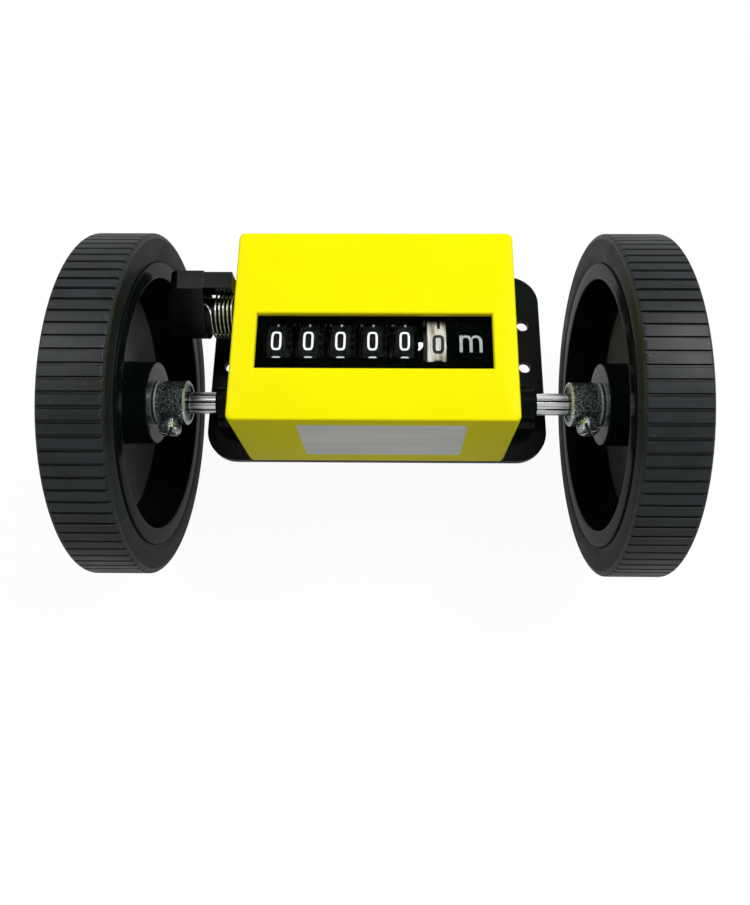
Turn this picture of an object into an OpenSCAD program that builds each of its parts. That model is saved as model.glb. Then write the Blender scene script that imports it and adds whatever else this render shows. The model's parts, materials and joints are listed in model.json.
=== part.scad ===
// Cable length counter: two ribbed measuring wheels on one shaft drive a six-figure
// counter under a moulded cover, with a quick reset lever on its left side.
// Frame: the origin is the middle of the base plate's four holes, on its underside.
// X runs along the wheel shaft, Y to the back, Z out of the base plate to the figures.

/* [Base plate] */
// Width of the base plate, along the shaft
base_w = 110; // [104:0.5:130]
// Depth of the base plate, front to back
base_d = 66; // [64:0.5:80]
// Thickness of the base plate
base_t = 2.8; // [2:0.1:3.6]
// Radius of its four corners
base_corner_r = 10; // [3:0.5:14]
// From the middle of the holes to the front edge
base_front = 40; // [40:0.5:44]
// Diameter of the four fixing holes
hole_d = 4; // [3:0.1:5]
// Spacing of the fixing holes along the shaft
hole_dx = 98.5; // [96:0.5:100]
// Spacing of the fixing holes front to back
hole_dy = 15.2; // [10:0.2:18]

/* [Cover] */
// Width of the cover at its top
cover_w = 81; // [79:0.5:83]
// Depth of the cover
cover_d = 58.5; // [56:0.5:62]
// From the middle of the holes to the cover's front
cover_front = 39.5; // [38:0.5:39.5]
// Height of the cover's top above the mounting face
cover_top = 44; // [43:0.5:50]
// Wall of the cover
cover_wall = 2; // [1.4:0.1:2.4]
// Slope of each side over the cover's height
cover_draft = 0.5; // [0.1:0.1:1]
// Rounding of the cover's top edges
cover_edge = 1; // [0.4:0.1:1.6]
// Rounding of the cover's upright corners
cover_corner_r = 1.8; // [1:0.1:3]

/* [Window] */
// From the window to each side of the cover
window_side = 6.9; // [6:0.1:10]
// Height of the window, front to back
window_d = 16.7; // [13:0.1:18]
// Distance of the window's middle in front of the holes' middle
window_front = 15.8; // [14.5:0.1:17]
// Thickness of the clear lens
lens_t = 1.2; // [0.8:0.1:1.4]
// Rim of the lens that lies under the cover all round
lens_lap = 1.6; // [1:0.1:2.4]
// Thickness of the black mask
mask_t = 0.8; // [0.6:0.1:1]
// Height of the slot over the five black number wheels
mask_slot_d = 10.8; // [8:0.2:11]
// Height of the slot over the pale tenths wheel
mask_tenths_d = 13; // [10:0.2:14]

/* [Measuring wheels] */
// Width of a wheel across the tyre
wheel_w = 17.8; // [15:0.1:22]
// From the lever's outer end to the wheel beside it, before the shift below
wheel_clearance = 3.9; // [2.5:0.1:8]
// How far the wheel set stands to the right of the base plate's middle
wheel_set_shift = 0.6; // [0:0.1:1]
// Number of ribs round a tyre
tread_ribs = 90; // [40:1:120]
// Width of a groove between two ribs
tread_groove_w = 1.3; // [0.8:0.1:1.8]
// Depth of a groove
tread_groove_deep = 0.5; // [0.3:0.05:0.8]
// Chamfer of the tyre's shoulders
tyre_shoulder = 0.7; // [0.4:0.1:1.2]
// Radius where the tyre sits on the rim
rim_outer_r = 44.3; // [42:0.01:47]
// Thickness of the tyre, which with the rim gives the length that passes in one turn
tyre_t = 8.75; // [6:0.01:12]
// Radius of the rim's mouth at the inner face
rim_mouth_r = 39.4; // [37:0.1:41]
// Radius of the rim's bore at the web
rim_floor_r = 38.3; // [35:0.1:36.9]
// Depth from the inner face to the web
web_depth = 14.2; // [12:0.1:14.4]
// Thickness of the web
web_t = 2.4; // [2:0.1:2.6]
// Radius of the hub
hub_r = 13; // [11:0.1:16]
// How far the hub's end lies below the inner face
hub_inset = 2.2; // [1:0.1:4]

/* [Shaft and collars] */
// Diameter of the fluted shaft
shaft_d = 7; // [6:0.1:7.4]
// Number of flutes along the shaft
shaft_flutes = 8; // [6:1:12]
// Width of a flute
flute_w = 0.9; // [0.6:0.1:1.2]
// Depth of a flute
flute_deep = 0.35; // [0.2:0.05:0.5]
// Height of the shaft above the mounting face
shaft_z = 11; // [10.5:0.1:12]
// Distance of the shaft in front of the holes' middle
shaft_front = 23.5; // [22:0.1:25]
// Diameter of a collar
collar_d = 14; // [12:0.1:16]
// Length of a collar
collar_len = 10; // [8:0.1:12]
// Chamfer of a collar's edges
collar_edge = 0.5; // [0.2:0.1:1]
// Diameter of a collar's clamping screw
clamp_d = 4; // [3:0.1:4.5]
// Diameter of a clamping screw's head
clamp_head_d = 7; // [5.5:0.1:8]
// Height of a clamping screw's head
clamp_head_h = 2.6; // [2:0.1:3]
// Bare thread between a collar and its screw's head
clamp_stand_off = 1.6; // [0.5:0.1:3]

/* [Bearings] */
// Depth of a bearing block, front to back
block_d = 16; // [14:0.1:17]
// Length of a bearing block, from beside the cover outwards
block_len = 8.9; // [7:0.1:10]
// Radius of the barrel round a bush
barrel_r = 5.4; // [5:0.1:6]
// Radius of a bush outside
bush_r = 4.4; // [4.2:0.1:4.8]
// Radial clearance of a running shaft in its bore
running_clearance = 0.05; // [0.03:0.01:0.08]

/* [Counter] */
// Number of number wheels
wheel_count = 6; // [6:1:6]
// From the cover's inside to the first number wheel
left_room = 7.65; // [7.2:0.05:9]
// From the last number wheel to the cover's inside, with the gear train between them
right_room = 17.85; // [17.4:0.05:20]
// Gap between the faces of two number wheels, for the transfer gears
gap_w = 3.7; // [3.5:0.05:4]
// Radius of a number wheel's face
face_r = 12; // [11.6:0.1:12.2]
// From the cover's top down to the number wheels' faces
face_depth = 3.5; // [3.4:0.1:4]
// Distance of the number wheels' axis in front of the holes' middle
number_front = 14.5; // [14:0.1:15]
// Radius of the number wheels' spindle
spindle_r = 2; // [1.5:0.1:2.2]
// Module of the drive gears
drive_module = 0.6; // [0.58:0.01:0.62]
// Teeth of the gear on the shaft
shaft_teeth = 18; // [18:1:18]
// Teeth of the idler's large gear
idler_large_teeth = 27; // [27:1:27]
// Teeth of the idler's small gear
idler_small_teeth = 15; // [15:1:15]
// Teeth of the gear on the tenths wheel
tenths_teeth = 30; // [30:1:30]
// Width of a drive gear
drive_gear_w = 2.2; // [1.8:0.1:2.4]
// Module of the transfer gears
transfer_module = 0.95; // [0.94:0.01:0.98]
// Teeth of a number wheel's transfer gear
transfer_gear_teeth = 20; // [20:1:20]
// Teeth of a transfer pinion
transfer_pinion_teeth = 8; // [8:1:8]
// Thickness of the counter's side plates
plate_t = 1.2; // [1:0.1:1.4]

/* [Reset] */
// Distance of the reset shaft below the number wheels' axis
reset_drop = 8.5; // [8:0.1:9]
// Distance of the reset shaft behind the number wheels' axis
reset_behind = 17.3; // [17:0.1:17.7]
// Radius of the reset shaft
reset_r = 2; // [1.8:0.1:2.2]
// Swing of the lever from rest to full reset
reset_swing = 35; // [30:1:36]
// Width of the lever's thumb block
lever_block_w = 10.7; // [9:0.1:11]
// Width of the lever's hood over the spring
lever_hood_w = 8.8; // [8:0.1:11]
// From the hood's inner end to the cover's side at its top
lever_gap = 4; // [3:0.1:6]
// Height of the thumb pad above the reset shaft
pad_rise = 12; // [11:0.1:13]
// Front edge of the thumb pad, behind the reset shaft
pad_front = 3.7; // [3:0.1:4.5]
// Depth of the thumb pad, front to back
pad_d = 6.1; // [5:0.1:7]
// Rounding of the lever's outer end
lever_end_r = 3; // [1:0.1:3.5]
// Mean radius of the return spring
spring_r = 7; // [6.6:0.1:7.4]
// Thickness of the spring wire
spring_wire = 0.7; // [0.5:0.05:0.8]
// Whole turns of the return spring
spring_turns = 6; // [4:1:6]
// Pitch of the spring's turns
spring_pitch = 1.25; // [1.2:0.05:1.3]

/* [Hidden] */
$fn = 64;
slip = 0.02;                  // between parts pressed together
play = 0.15;                  // beside turning wheels

black_plastic = "#202224";
satin_rubber = "#2b2d2f";
yellow_plastic = "#f4ea12";
zinc = "#a9adb0";
steel = "#c4c6c8";
brass = "#c8a24a";

// ---- axes, as points [y, z] ----
number_z = cover_top - face_depth - face_r;
shaft_axis = [-shaft_front, shaft_z];
number_axis = [-number_front, number_z];
reset_axis = number_axis + [reset_behind, -reset_drop];

// ---- the gear train from the shaft to the tenths wheel ----
first_mesh = drive_module * (shaft_teeth + idler_large_teeth) / 2;
second_mesh = drive_module * (idler_small_teeth + tenths_teeth) / 2;
train_line = number_axis - shaft_axis;
train_span = norm(train_line);
train_foot = (pow(first_mesh, 2) - pow(second_mesh, 2) + pow(train_span, 2)) / (2 * train_span);
train_rise = sqrt(pow(first_mesh, 2) - pow(train_foot, 2));
train_along = train_line / train_span;
train_across = [-train_along[1], train_along[0]];
idler_axis = shaft_axis + train_foot * train_along + train_rise * train_across;
first_mesh_angle = angle_of(idler_axis - shaft_axis);
second_mesh_angle = angle_of(number_axis - idler_axis);

// ---- the transfer pinions, just above and behind the number wheels ----
transfer_mesh = transfer_module * (transfer_gear_teeth + transfer_pinion_teeth) / 2;
transfer_angle = 20;
pinion_axis = number_axis + transfer_mesh * [cos(transfer_angle), sin(transfer_angle)];

// ---- places along X ----
inside_x = cover_w / 2 - cover_wall;
wheel_pitch = (2 * inside_x - left_room - right_room + gap_w) / wheel_count;
face_w = wheel_pitch - gap_w;
first_wheel_x = -inside_x + left_room + face_w / 2;
window_w = cover_w - 2 * window_side;
transfer_gear_w = 1.2;
heart_end = transfer_gear_w + 1.2;
carry_w = gap_w - heart_end - play;
last_wheel_x = first_wheel_x + (wheel_count - 1) * wheel_pitch;
tenths_gear_x = last_wheel_x + face_w / 2 + heart_end + play;
train_step = drive_gear_w + 0.5;
shaft_gear_x = tenths_gear_x + train_step;
right_plate_x = shaft_gear_x + drive_gear_w + 1.3;
left_plate_x = first_wheel_x - face_w / 2 - 2.6 - plate_t;
cradle_t = 1.2;
left_arm_x = left_plate_x + plate_t + 0.4;
right_arm_x = tenths_gear_x + 0.8;
block_inner_x = cover_w / 2 + cover_draft + 0.3;
block_end_x = block_inner_x + block_len;
lever_inner_x = cover_w / 2 + lever_gap;
lever_seam_x = lever_inner_x + lever_hood_w;
lever_end_x = lever_seam_x + lever_block_w;
wheel_inner_x = lever_end_x + wheel_clearance;

// ---- heights ----
roof_z = cover_top - cover_wall;
mask_z = roof_z - lens_t - 0.1 - mask_t;
base_y = base_d / 2 - base_front;
cover_y = cover_d / 2 - cover_front;

// ---- the measuring wheels ----
tyre_r = rim_outer_r + tyre_t;
turn_length = 2 * PI * tyre_r;
echo(length_per_turn = turn_length);
shaft_set_back = 1.6;         // from the wheel's outer face to the shaft's end
shaft_half = wheel_inner_x + wheel_w - shaft_set_back;
hub_end_x = wheel_inner_x + hub_inset;
collar_x = hub_end_x - collar_len;

// ---- the reset fingers ----
heart_low_r = 3.6;
heart_high_r = 7.2;
reset_reach = norm(number_axis - reset_axis);
finger_clearance = 0.25;      // to the heart's high point, whichever way the wheel stands
finger_len = reset_reach - heart_high_r - finger_clearance;
reset_angle = angle_of(number_axis - reset_axis);
finger_rest_angle = reset_angle + reset_swing;

function angle_of(v) = atan2(v[1], v[0]);
function polar(r, a) = [r * cos(a), r * sin(a)];

// ---- shared shapes ----

// A round bar along X, from x0 to x1
module bar_x(x0, x1, r) {
    translate([x0, 0, 0]) rotate([0, 90, 0]) cylinder(h = x1 - x0, r = r);
}

// Children moved onto an axis given as [y, z]
module on_axis(a) {
    translate([0, a[0], a[1]]) children();
}

// An outline drawn in [y, z], carried along X from x0 to x1
module slab_x(x0, x1) {
    translate([x0, 0, 0]) rotate([90, 0, 90]) linear_extrude(x1 - x0) children();
}

// A profile of [x, radius] points turned about the X axis
module turned_x(profile) {
    rotate([0, 90, 0]) rotate_extrude($fn = 96)
        polygon([for (p = profile) [p[1], p[0]]]);
}

// Roll angle of the involute where it crosses radius r, in degrees
function roll(r, base) = r <= base ? 0 : sqrt(pow(r / base, 2) - 1) * 180 / PI;
function involute(r, base) = roll(r, base) - atan(roll(r, base) * PI / 180);

// Half the angle that a tooth takes up at radius r
function tooth_half(r, teeth, modul, pressure) =
    let (pitch = modul * teeth / 2, base = pitch * cos(pressure), thin = 0.07)
    90 / teeth - thin / pitch * 90 / PI + involute(pitch, base) - involute(max(r, base), base);

// Spur gear outline, with the middle of one tooth at the angle first
module gear_outline(teeth, modul, first, pressure = 20, head = 0.95, foot = 1.2, every = 1) {
    pitch = modul * teeth / 2;
    root = pitch - foot * modul;
    tip = pitch + head * modul;
    flank = [root, pitch - 0.55 * modul, pitch, tip - 0.4 * modul, tip];
    step = 360 / teeth;
    last = len(flank) - 1;
    polygon([for (t = [0 : every : teeth - 1])
        let (mid = first + t * step)
        each concat(
            [for (i = [0 : last]) polar(flank[i], mid - tooth_half(flank[i], teeth, modul, pressure))],
            [for (i = [last : -1 : 0]) polar(flank[i], mid + tooth_half(flank[i], teeth, modul, pressure))],
            every == 1 ? [] : [for (a = [0.5 : 1 : every - 0.5]) polar(root, mid + a * step)])]);
}

// ---- base plate with its two bearing blocks ----

// Rectangle with round corners
module rounded_rect(w, d, r, sides = 64) {
    square([w - 2 * r, d], center = true);
    square([w, d - 2 * r], center = true);
    for (x = [-1, 1], y = [-1, 1])
        translate([x * (w / 2 - r), y * (d / 2 - r)]) circle(r = r, $fn = sides);
}

// One bearing block on the right: shoulders with a stepped lip, and a barrel for the bush
module bearing_block() {
    lip = 1.6;
    lip_drop = 0.8;
    edge = 0.4;
    block_top = shaft_z - 0.4;
    slab_x(block_inner_x, block_end_x - lip)
        translate([-block_d / 2 - shaft_front, base_t - edge])
            square([block_d, block_top - base_t + edge]);
    slab_x(block_end_x - lip - edge, block_end_x)
        translate([-block_d / 2 + edge - shaft_front, base_t - edge])
            square([block_d - 2 * edge, block_top - lip_drop - base_t + edge]);
    on_axis(shaft_axis) turned_x([[block_inner_x, 0], [block_inner_x, barrel_r],
        [block_end_x - edge, barrel_r], [block_end_x, barrel_r - edge], [block_end_x, 0]]);
}

module base_plate() {
    color(black_plastic) difference() {
        union() {
            translate([0, base_y, 0]) linear_extrude(base_t) rounded_rect(base_w, base_d, base_corner_r);
            bearing_block();
            mirror([1, 0, 0]) bearing_block();
        }
        for (x = [-1, 1], y = [-1, 1])
            translate([x * hole_dx / 2, y * hole_dy / 2, -1]) cylinder(h = base_t + 2, r = hole_d / 2);
        on_axis(shaft_axis) bar_x(-block_end_x - 1, block_end_x + 1, bush_r + slip);
        cover_screw_places() {
            translate([0, 0, -1]) cylinder(h = base_t + 2, r = cover_screw_r + 0.1);
            translate([0, 0, -0.01]) cylinder(h = cover_screw_r + 0.31,
                r1 = 2 * cover_screw_r + 0.3, r2 = cover_screw_r);
        }
        plate_screw_places() {
            translate([0, 0, -1]) cylinder(h = base_t + 2, r = plate_screw_r + 0.1);
            translate([0, 0, -0.01]) cylinder(h = plate_screw_r + 0.31,
                r1 = 2 * plate_screw_r + 0.3, r2 = plate_screw_r);
        }
    }
}

// ---- cover ----

// A box from a bottom to a top, with sloping sides and rounded corners and top edges
module cover_block(inset, bottom, top) {
    w = cover_w - 2 * inset;
    d = cover_d - 2 * inset;
    r = max(cover_corner_r - inset, 0.4);
    edge = max(cover_edge - inset, 0.3);
    layer = 0.01;
    levels = [[bottom, cover_draft], [top - edge - layer, 0], [top - 0.45 * edge - layer, -0.16 * edge],
        [top - 0.12 * edge - layer, -0.5 * edge], [top - layer, -edge]];
    hull() for (v = levels)
        translate([0, cover_y, v[0]]) linear_extrude(layer)
            rounded_rect(w + 2 * v[1], d + 2 * v[1], r, 24);
}

cover_screw_r = 1.4;
cover_screw_len = 10;
cover_post_r = 3;
post_gap = 0.4;               // from a post to the cover's walls
module cover_screw_places() {
    for (x = [-1, 1], y = [-1, 1])
        translate([x * (inside_x - cover_post_r - post_gap),
            cover_y + y * (cover_d / 2 - cover_wall - cover_post_r - post_gap), 0]) children();
}

window_bevel = 0.4;
module window_opening() {
    y = -window_front;
    translate([-window_w / 2, y - window_d / 2, roof_z - 1])
        cube([window_w, window_d, cover_wall + 2]);
    hull() for (step = [0, 1])
        translate([-window_w / 2 - step * window_bevel, y - window_d / 2 - step * window_bevel,
            cover_top - (1 - step) * window_bevel])
            cube([window_w + 2 * step * window_bevel, window_d + 2 * step * window_bevel, 0.01]);
}

module cover() {
    post_z = base_t + 0.05;
    slot_r = shaft_d / 2 + 1;
    color(yellow_plastic) difference() {
        union() {
            difference() {
                cover_block(0, base_t, cover_top);
                cover_block(cover_wall, base_t - 1, roof_z);
            }
            cover_screw_places() translate([0, 0, post_z])
                cylinder(h = roof_z - post_z + 0.5, r = cover_post_r);
        }
        window_opening();
        cover_screw_places() translate([0, 0, 1]) cylinder(h = cover_screw_len + 2, r = cover_screw_r + slip);
        // open slots for the shaft, so that the cover lifts off over it
        for (s = [-1, 1]) {
            on_axis(shaft_axis) bar_x(s * cover_w / 2 - 4.5, s * cover_w / 2 + 4.5, slot_r);
            translate([s * cover_w / 2 - 4.5, -shaft_front - slot_r, -1])
                cube([9, 2 * slot_r, shaft_z + 1]);
        }
        on_axis(reset_axis) {
            bar_x(-cover_w / 2 - 4.5, -cover_w / 2 + 4.5, reset_r + 1);
            // seat of the spring's fixed leg
            on_axis(polar(spring_r, spring_end_angle))
                bar_x(-cover_w / 2 - 4.5, -cover_w / 2 + 4.5, spring_wire / 2 + 0.25);
        }
    }
}

module cover_screws() {
    color(zinc) cover_screw_places() countersunk_screw(cover_screw_r, cover_screw_len);
}

// A countersunk screw from below, its head level with the mounting face
module countersunk_screw(r, length) {
    rotate_extrude() polygon([[0, 0.7], [0.4, 0.3], [0.4, 0.05], [2 * r, 0.05], [r, r + 0.05],
        [r, length - 1], [r - 0.5, length], [0, length]]);
}

module window_lens() {
    color("#dfe6e8", 0.4) translate([-window_w / 2 - lens_lap,
        -window_front - window_d / 2 - lens_lap, roof_z - lens_t])
        cube([window_w + 2 * lens_lap, window_d + 2 * lens_lap, lens_t]);
}

// Black panel behind the lens, with a slot over the number wheels
module number_mask() {
    bar = 2.2;
    slot_left = first_wheel_x - face_w / 2 - 0.4;
    tenths_left = last_wheel_x - face_w / 2 - 1.1;
    tenths_right = last_wheel_x + face_w / 2 + 0.3;
    depth = window_d + 6;
    color(black_plastic) translate([0, -number_front, mask_z]) difference() {
        translate([left_plate_x, number_front - window_front - depth / 2, 0])
            cube([right_plate_x + plate_t + 5 - left_plate_x, depth, mask_t]);
        translate([slot_left, -mask_slot_d / 2, -1])
            cube([tenths_left - bar - slot_left, mask_slot_d, mask_t + 2]);
        translate([tenths_left, -mask_tenths_d / 2, -1])
            cube([tenths_right - tenths_left, mask_tenths_d, mask_t + 2]);
    }
}

// ---- side plates of the counter ----

plate_screw_r = 1.2;
plate_screw_len = 5.5;
foot_l = 7;
foot_d = 8;
foot_in = 0.5;                // from a plate's edge to its foot
plate_gap = 2 * cover_post_r + post_gap + 0.6;    // clears the cover's posts
plate_front = -cover_front + cover_wall + plate_gap;
plate_back = cover_d - cover_front - cover_wall - plate_gap;
foot_ys = [plate_front + foot_in + foot_d / 2, plate_back - foot_in - foot_d / 2];
module plate_screw_places() {
    for (x = [left_plate_x + plate_t + foot_l / 2 + 0.5, right_plate_x + plate_t + foot_l / 2 - 0.5],
        y = foot_ys) translate([x, y, 0]) children();
}

spacer_r = 2;
spacer_in = 3.1;              // from a plate's front and back edges
spacer_down = 3.5;            // from its top
spacer_up = 4.7;              // from its foot
spacer_axes = [[plate_front + spacer_in, mask_z - spacer_down], [plate_back - spacer_in, base_t + spacer_up]];
plate_cut = [5, 11];          // two steps of the slope at the back of a plate's top
plate_cut_z = [13.9, 5.9];
plate_nick = 1.5;

module plate_outline() {
    top = mask_z;
    polygon([[plate_front, base_t], [plate_back, base_t], [plate_back, top - plate_cut_z[0]],
        [plate_back - plate_cut[0], top - plate_cut_z[1]], [plate_back - plate_cut[1], top],
        [plate_front + plate_nick, top], [plate_front, top - plate_nick]]);
}

module side_plate(x, foot_x) {
    difference() {
        union() {
            slab_x(x, x + plate_t) difference() {
                plate_outline();
                translate(shaft_axis) circle(r = shaft_d / 2 + 0.3);
                translate(number_axis) circle(r = spindle_r + slip);
                translate(reset_axis) circle(r = reset_r + running_clearance);
                for (a = spacer_axes) translate(a) circle(r = 1.2 + slip);
            }
            for (y = foot_ys) translate([foot_x, y - foot_d / 2, base_t]) cube([foot_l, foot_d, plate_t]);
        }
        plate_screw_places() translate([0, 0, 1]) cylinder(h = plate_screw_len + 0.5, r = plate_screw_r + slip);
    }
}

module left_side_plate() {
    color(zinc) side_plate(left_plate_x, left_plate_x + plate_t / 2);
}

module right_side_plate() {
    color(zinc) difference() {
        side_plate(right_plate_x, right_plate_x + plate_t / 2);
        on_axis(idler_axis) bar_x(right_plate_x - 1, right_plate_x + plate_t + 1, 1.2 + slip);
    }
}

module plate_screws() {
    color(zinc) plate_screw_places() countersunk_screw(plate_screw_r, plate_screw_len);
}

// Shouldered bars that hold the plates apart, riveted through them
module plate_spacers() {
    a = left_plate_x;
    b = right_plate_x + plate_t;
    color(steel) for (p = spacer_axes) on_axis(p)
        turned_x([[a - 0.4, 0], [a - 0.4, 1.2], [a + plate_t, 1.2], [a + plate_t, spacer_r],
            [b - plate_t, spacer_r], [b - plate_t, 1.2], [b + 0.4, 1.2], [b + 0.4, 0]]);
}

// ---- bearings and shaft ----

module bush() {
    color(brass) on_axis(shaft_axis) difference() {
        bar_x(block_inner_x, block_end_x - 0.3, bush_r);
        bar_x(block_inner_x - 1, block_end_x + 1, shaft_d / 2 + running_clearance);
    }
}

module left_bush() {
    mirror([1, 0, 0]) bush();
}

module right_bush() {
    bush();
}

// Long shaft with narrow flutes all round
module drive_shaft() {
    r = shaft_d / 2;
    a = wheel_set_shift - shaft_half;
    b = wheel_set_shift + shaft_half;
    color(steel) on_axis(shaft_axis) difference() {
        turned_x([[a, 0], [a, r - 0.5], [a + 0.5, r], [b - 0.5, r], [b, r - 0.5], [b, 0]]);
        for (i = [0 : shaft_flutes - 1])
            rotate([108 + i * 360 / shaft_flutes, 0, 0])
                translate([a - 1, r - flute_deep, -flute_w / 2])
                    cube([b - a + 2, 1, flute_w]);
    }
}

// Retaining rings on the shaft, outside each side plate
module shaft_rings() {
    gap = 0.2;
    color(steel) on_axis(shaft_axis)
        for (x = [left_plate_x - gap - 0.8, right_plate_x + plate_t + gap])
            difference() {
                bar_x(x, x + 0.8, shaft_d / 2 + 2);
                bar_x(x - 1, x + 2, shaft_d / 2 + slip);
                translate([x - 1, -1.6, 0]) cube([3, 3.2, shaft_d]);
            }
}

module shaft_gear() {
    color(brass) on_axis(shaft_axis) difference() {
        union() {
            slab_x(shaft_gear_x, shaft_gear_x + drive_gear_w)
                gear_outline(shaft_teeth, drive_module, first_mesh_angle);
        }
        bar_x(shaft_gear_x - 1, shaft_gear_x + drive_gear_w + 1, shaft_d / 2 + slip);
    }
}

// ---- measuring wheels, drawn for the right side ----

module wheel_rim() {
    a = wheel_inner_x + wheel_set_shift;
    b = a + wheel_w;
    web_a = a + web_depth;
    web_b = web_a + web_t;
    hub_a = a + hub_inset;
    bore = shaft_d / 2 + slip;
    edge = 0.5;
    color(black_plastic) on_axis(shaft_axis) turned_x([
        [hub_a, bore], [hub_a, hub_r - edge], [hub_a + edge, hub_r],
        [web_a - 1.2, hub_r + 0.3], [web_a, hub_r + 1.5],
        [web_a, rim_floor_r - 1.5], [web_a - 1.2, rim_floor_r],
        [a + edge, rim_mouth_r], [a, rim_mouth_r + edge], [a, rim_outer_r - edge], [a + edge, rim_outer_r],
        [b - edge, rim_outer_r], [b, rim_outer_r - edge],
        [b, rim_mouth_r + 1], [b - 0.4, rim_mouth_r + 0.6], [web_b, rim_floor_r - 0.4],
        [web_b, hub_r + 0.8], [b - 0.4, hub_r - 0.6], [b, hub_r - 1], [b, bore]]);
}

module tyre() {
    a = wheel_inner_x + wheel_set_shift;
    b = a + wheel_w;
    seat = rim_outer_r + slip;
    lip = 2.5;
    lip_deep = 0.5;
    floor_r = tyre_r - tread_groove_deep;
    color(satin_rubber) on_axis(shaft_axis) difference() {
        turned_x([[a + lip_deep, seat], [a, seat + lip], [a, tyre_r - 1.4 * tyre_shoulder],
            [a + tyre_shoulder, tyre_r], [b - tyre_shoulder, tyre_r],
            [b, tyre_r - 1.4 * tyre_shoulder], [b, seat + lip], [b - lip_deep, seat]]);
        for (i = [0 : tread_ribs - 1])
            rotate([(i + 0.5) * 360 / tread_ribs, 0, 0])
                translate([a - 1, floor_r, -tread_groove_w / 2])
                    cube([wheel_w + 2, 3, tread_groove_w]);
    }
}

// The left wheel is the right one mirrored about the middle of the wheel set
module on_left() {
    translate([wheel_set_shift, 0, 0]) mirror([1, 0, 0]) translate([-wheel_set_shift, 0, 0]) children();
}

module left_wheel_rim() {
    on_left() wheel_rim();
}

module right_wheel_rim() {
    wheel_rim();
}

module left_tyre() {
    on_left() tyre();
}

module right_tyre() {
    tyre();
}

clamp_angles = [169, 157];    // where the left and right screws stand, from the back upwards
clamp_x = wheel_set_shift + collar_x + collar_len / 2;

module collar(angle) {
    a = wheel_set_shift + collar_x;
    b = a + collar_len;
    r = collar_d / 2;
    e = collar_edge;
    color(zinc) on_axis(shaft_axis) difference() {
        turned_x([[a, shaft_d / 2 + slip], [a, r - e], [a + e, r], [b - e, r], [b, r - e],
            [b, shaft_d / 2 + slip]]);
        rotate([angle, 0, 0]) translate([clamp_x, 0, 0]) rotate([-90, 0, 0])
            cylinder(h = r + 2, r = clamp_d / 2 + slip);
    }
}

module left_collar() {
    on_left() collar(clamp_angles[0]);
}

module right_collar() {
    collar(clamp_angles[1]);
}

// Pan-head screw with a crossed slot, standing out of its collar
module clamp_screw(angle) {
    r = collar_d / 2;
    head = r + clamp_stand_off;
    top = head + clamp_head_h;
    on_axis(shaft_axis) rotate([angle, 0, 0]) translate([clamp_x, 0, 0]) rotate([-90, 0, 0])
        difference() {
            rotate_extrude() polygon([[0, shaft_d / 2 + slip], [clamp_d / 2 - 0.4, shaft_d / 2 + slip],
                [clamp_d / 2, shaft_d / 2 + 0.5], [clamp_d / 2, head], [clamp_head_d / 2, head],
                [clamp_head_d / 2, top - 1.1], [clamp_head_d / 2 - 0.4, top - 0.5],
                [clamp_head_d / 2 - 1.1, top - 0.1], [clamp_head_d / 2 - 1.6, top], [0, top]]);
            for (turn = [25, 115]) rotate([0, 0, turn])
                translate([-clamp_head_d / 2, -0.45, top - 1]) cube([clamp_head_d, 0.9, 2]);
        }
}

module collar_screws() {
    color(zinc) {
        on_left() clamp_screw(clamp_angles[0]);
        clamp_screw(clamp_angles[1]);
    }
}

// ---- drive train ----

stud_head = 0.6;
idler_hub_a = tenths_gear_x - 0.1;
idler_hub_b = shaft_gear_x + drive_gear_w + 0.1;

module idler_stud() {
    color(steel) on_axis(idler_axis)
        turned_x([[idler_hub_a - play - stud_head, 0], [idler_hub_a - play - stud_head, 2.2],
            [idler_hub_a - play, 2.2], [idler_hub_a - play, 1.5], [right_plate_x, 1.5],
            [right_plate_x, 1.2], [right_plate_x + plate_t + 0.4, 1.2],
            [right_plate_x + plate_t + 0.4, 0]]);
}

module idler_gear() {
    color(brass) on_axis(idler_axis) difference() {
        union() {
            slab_x(tenths_gear_x, tenths_gear_x + drive_gear_w)
                gear_outline(idler_small_teeth, drive_module, second_mesh_angle);
            slab_x(shaft_gear_x, shaft_gear_x + drive_gear_w)
                gear_outline(idler_large_teeth, drive_module,
                    first_mesh_angle + 180 + 180 / idler_large_teeth);
            bar_x(idler_hub_a, idler_hub_b, 2.8);
        }
        bar_x(idler_hub_a - 1, idler_hub_b + 1, 1.5 + running_clearance);
    }
}

module tenths_gear() {
    color(brass) on_axis(number_axis) difference() {
        union() {
            slab_x(tenths_gear_x, tenths_gear_x + drive_gear_w)
                gear_outline(tenths_teeth, drive_module, second_mesh_angle + 180 + 180 / tenths_teeth);
            bar_x(tenths_gear_x, right_plate_x - play, 3.4);
        }
        bar_x(tenths_gear_x - 1, right_plate_x, spindle_r + running_clearance);
    }
}

// ---- number wheels ----

module number_spindle() {
    a = left_plate_x - 0.5;
    b = right_plate_x + plate_t + 0.5;
    r = spindle_r;
    color(steel) on_axis(number_axis) {
        turned_x([[a, 0], [a, r - 0.3], [a + 0.3, r], [b - 0.3, r], [b, r - 0.3], [b, 0]]);
    }
}

// Heart cam: its low point faces the reset finger when the wheel shows nought
module heart_outline() {
    sides = 24;
    low = angle_of(reset_axis - number_axis);
    polygon([for (i = [0 : sides - 1])
        let (a = i * 360 / sides, share = abs(a > 180 ? 360 - a : a) / 180)
        polar(heart_low_r + (heart_high_r - heart_low_r) * share, low + a)]);
}

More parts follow.
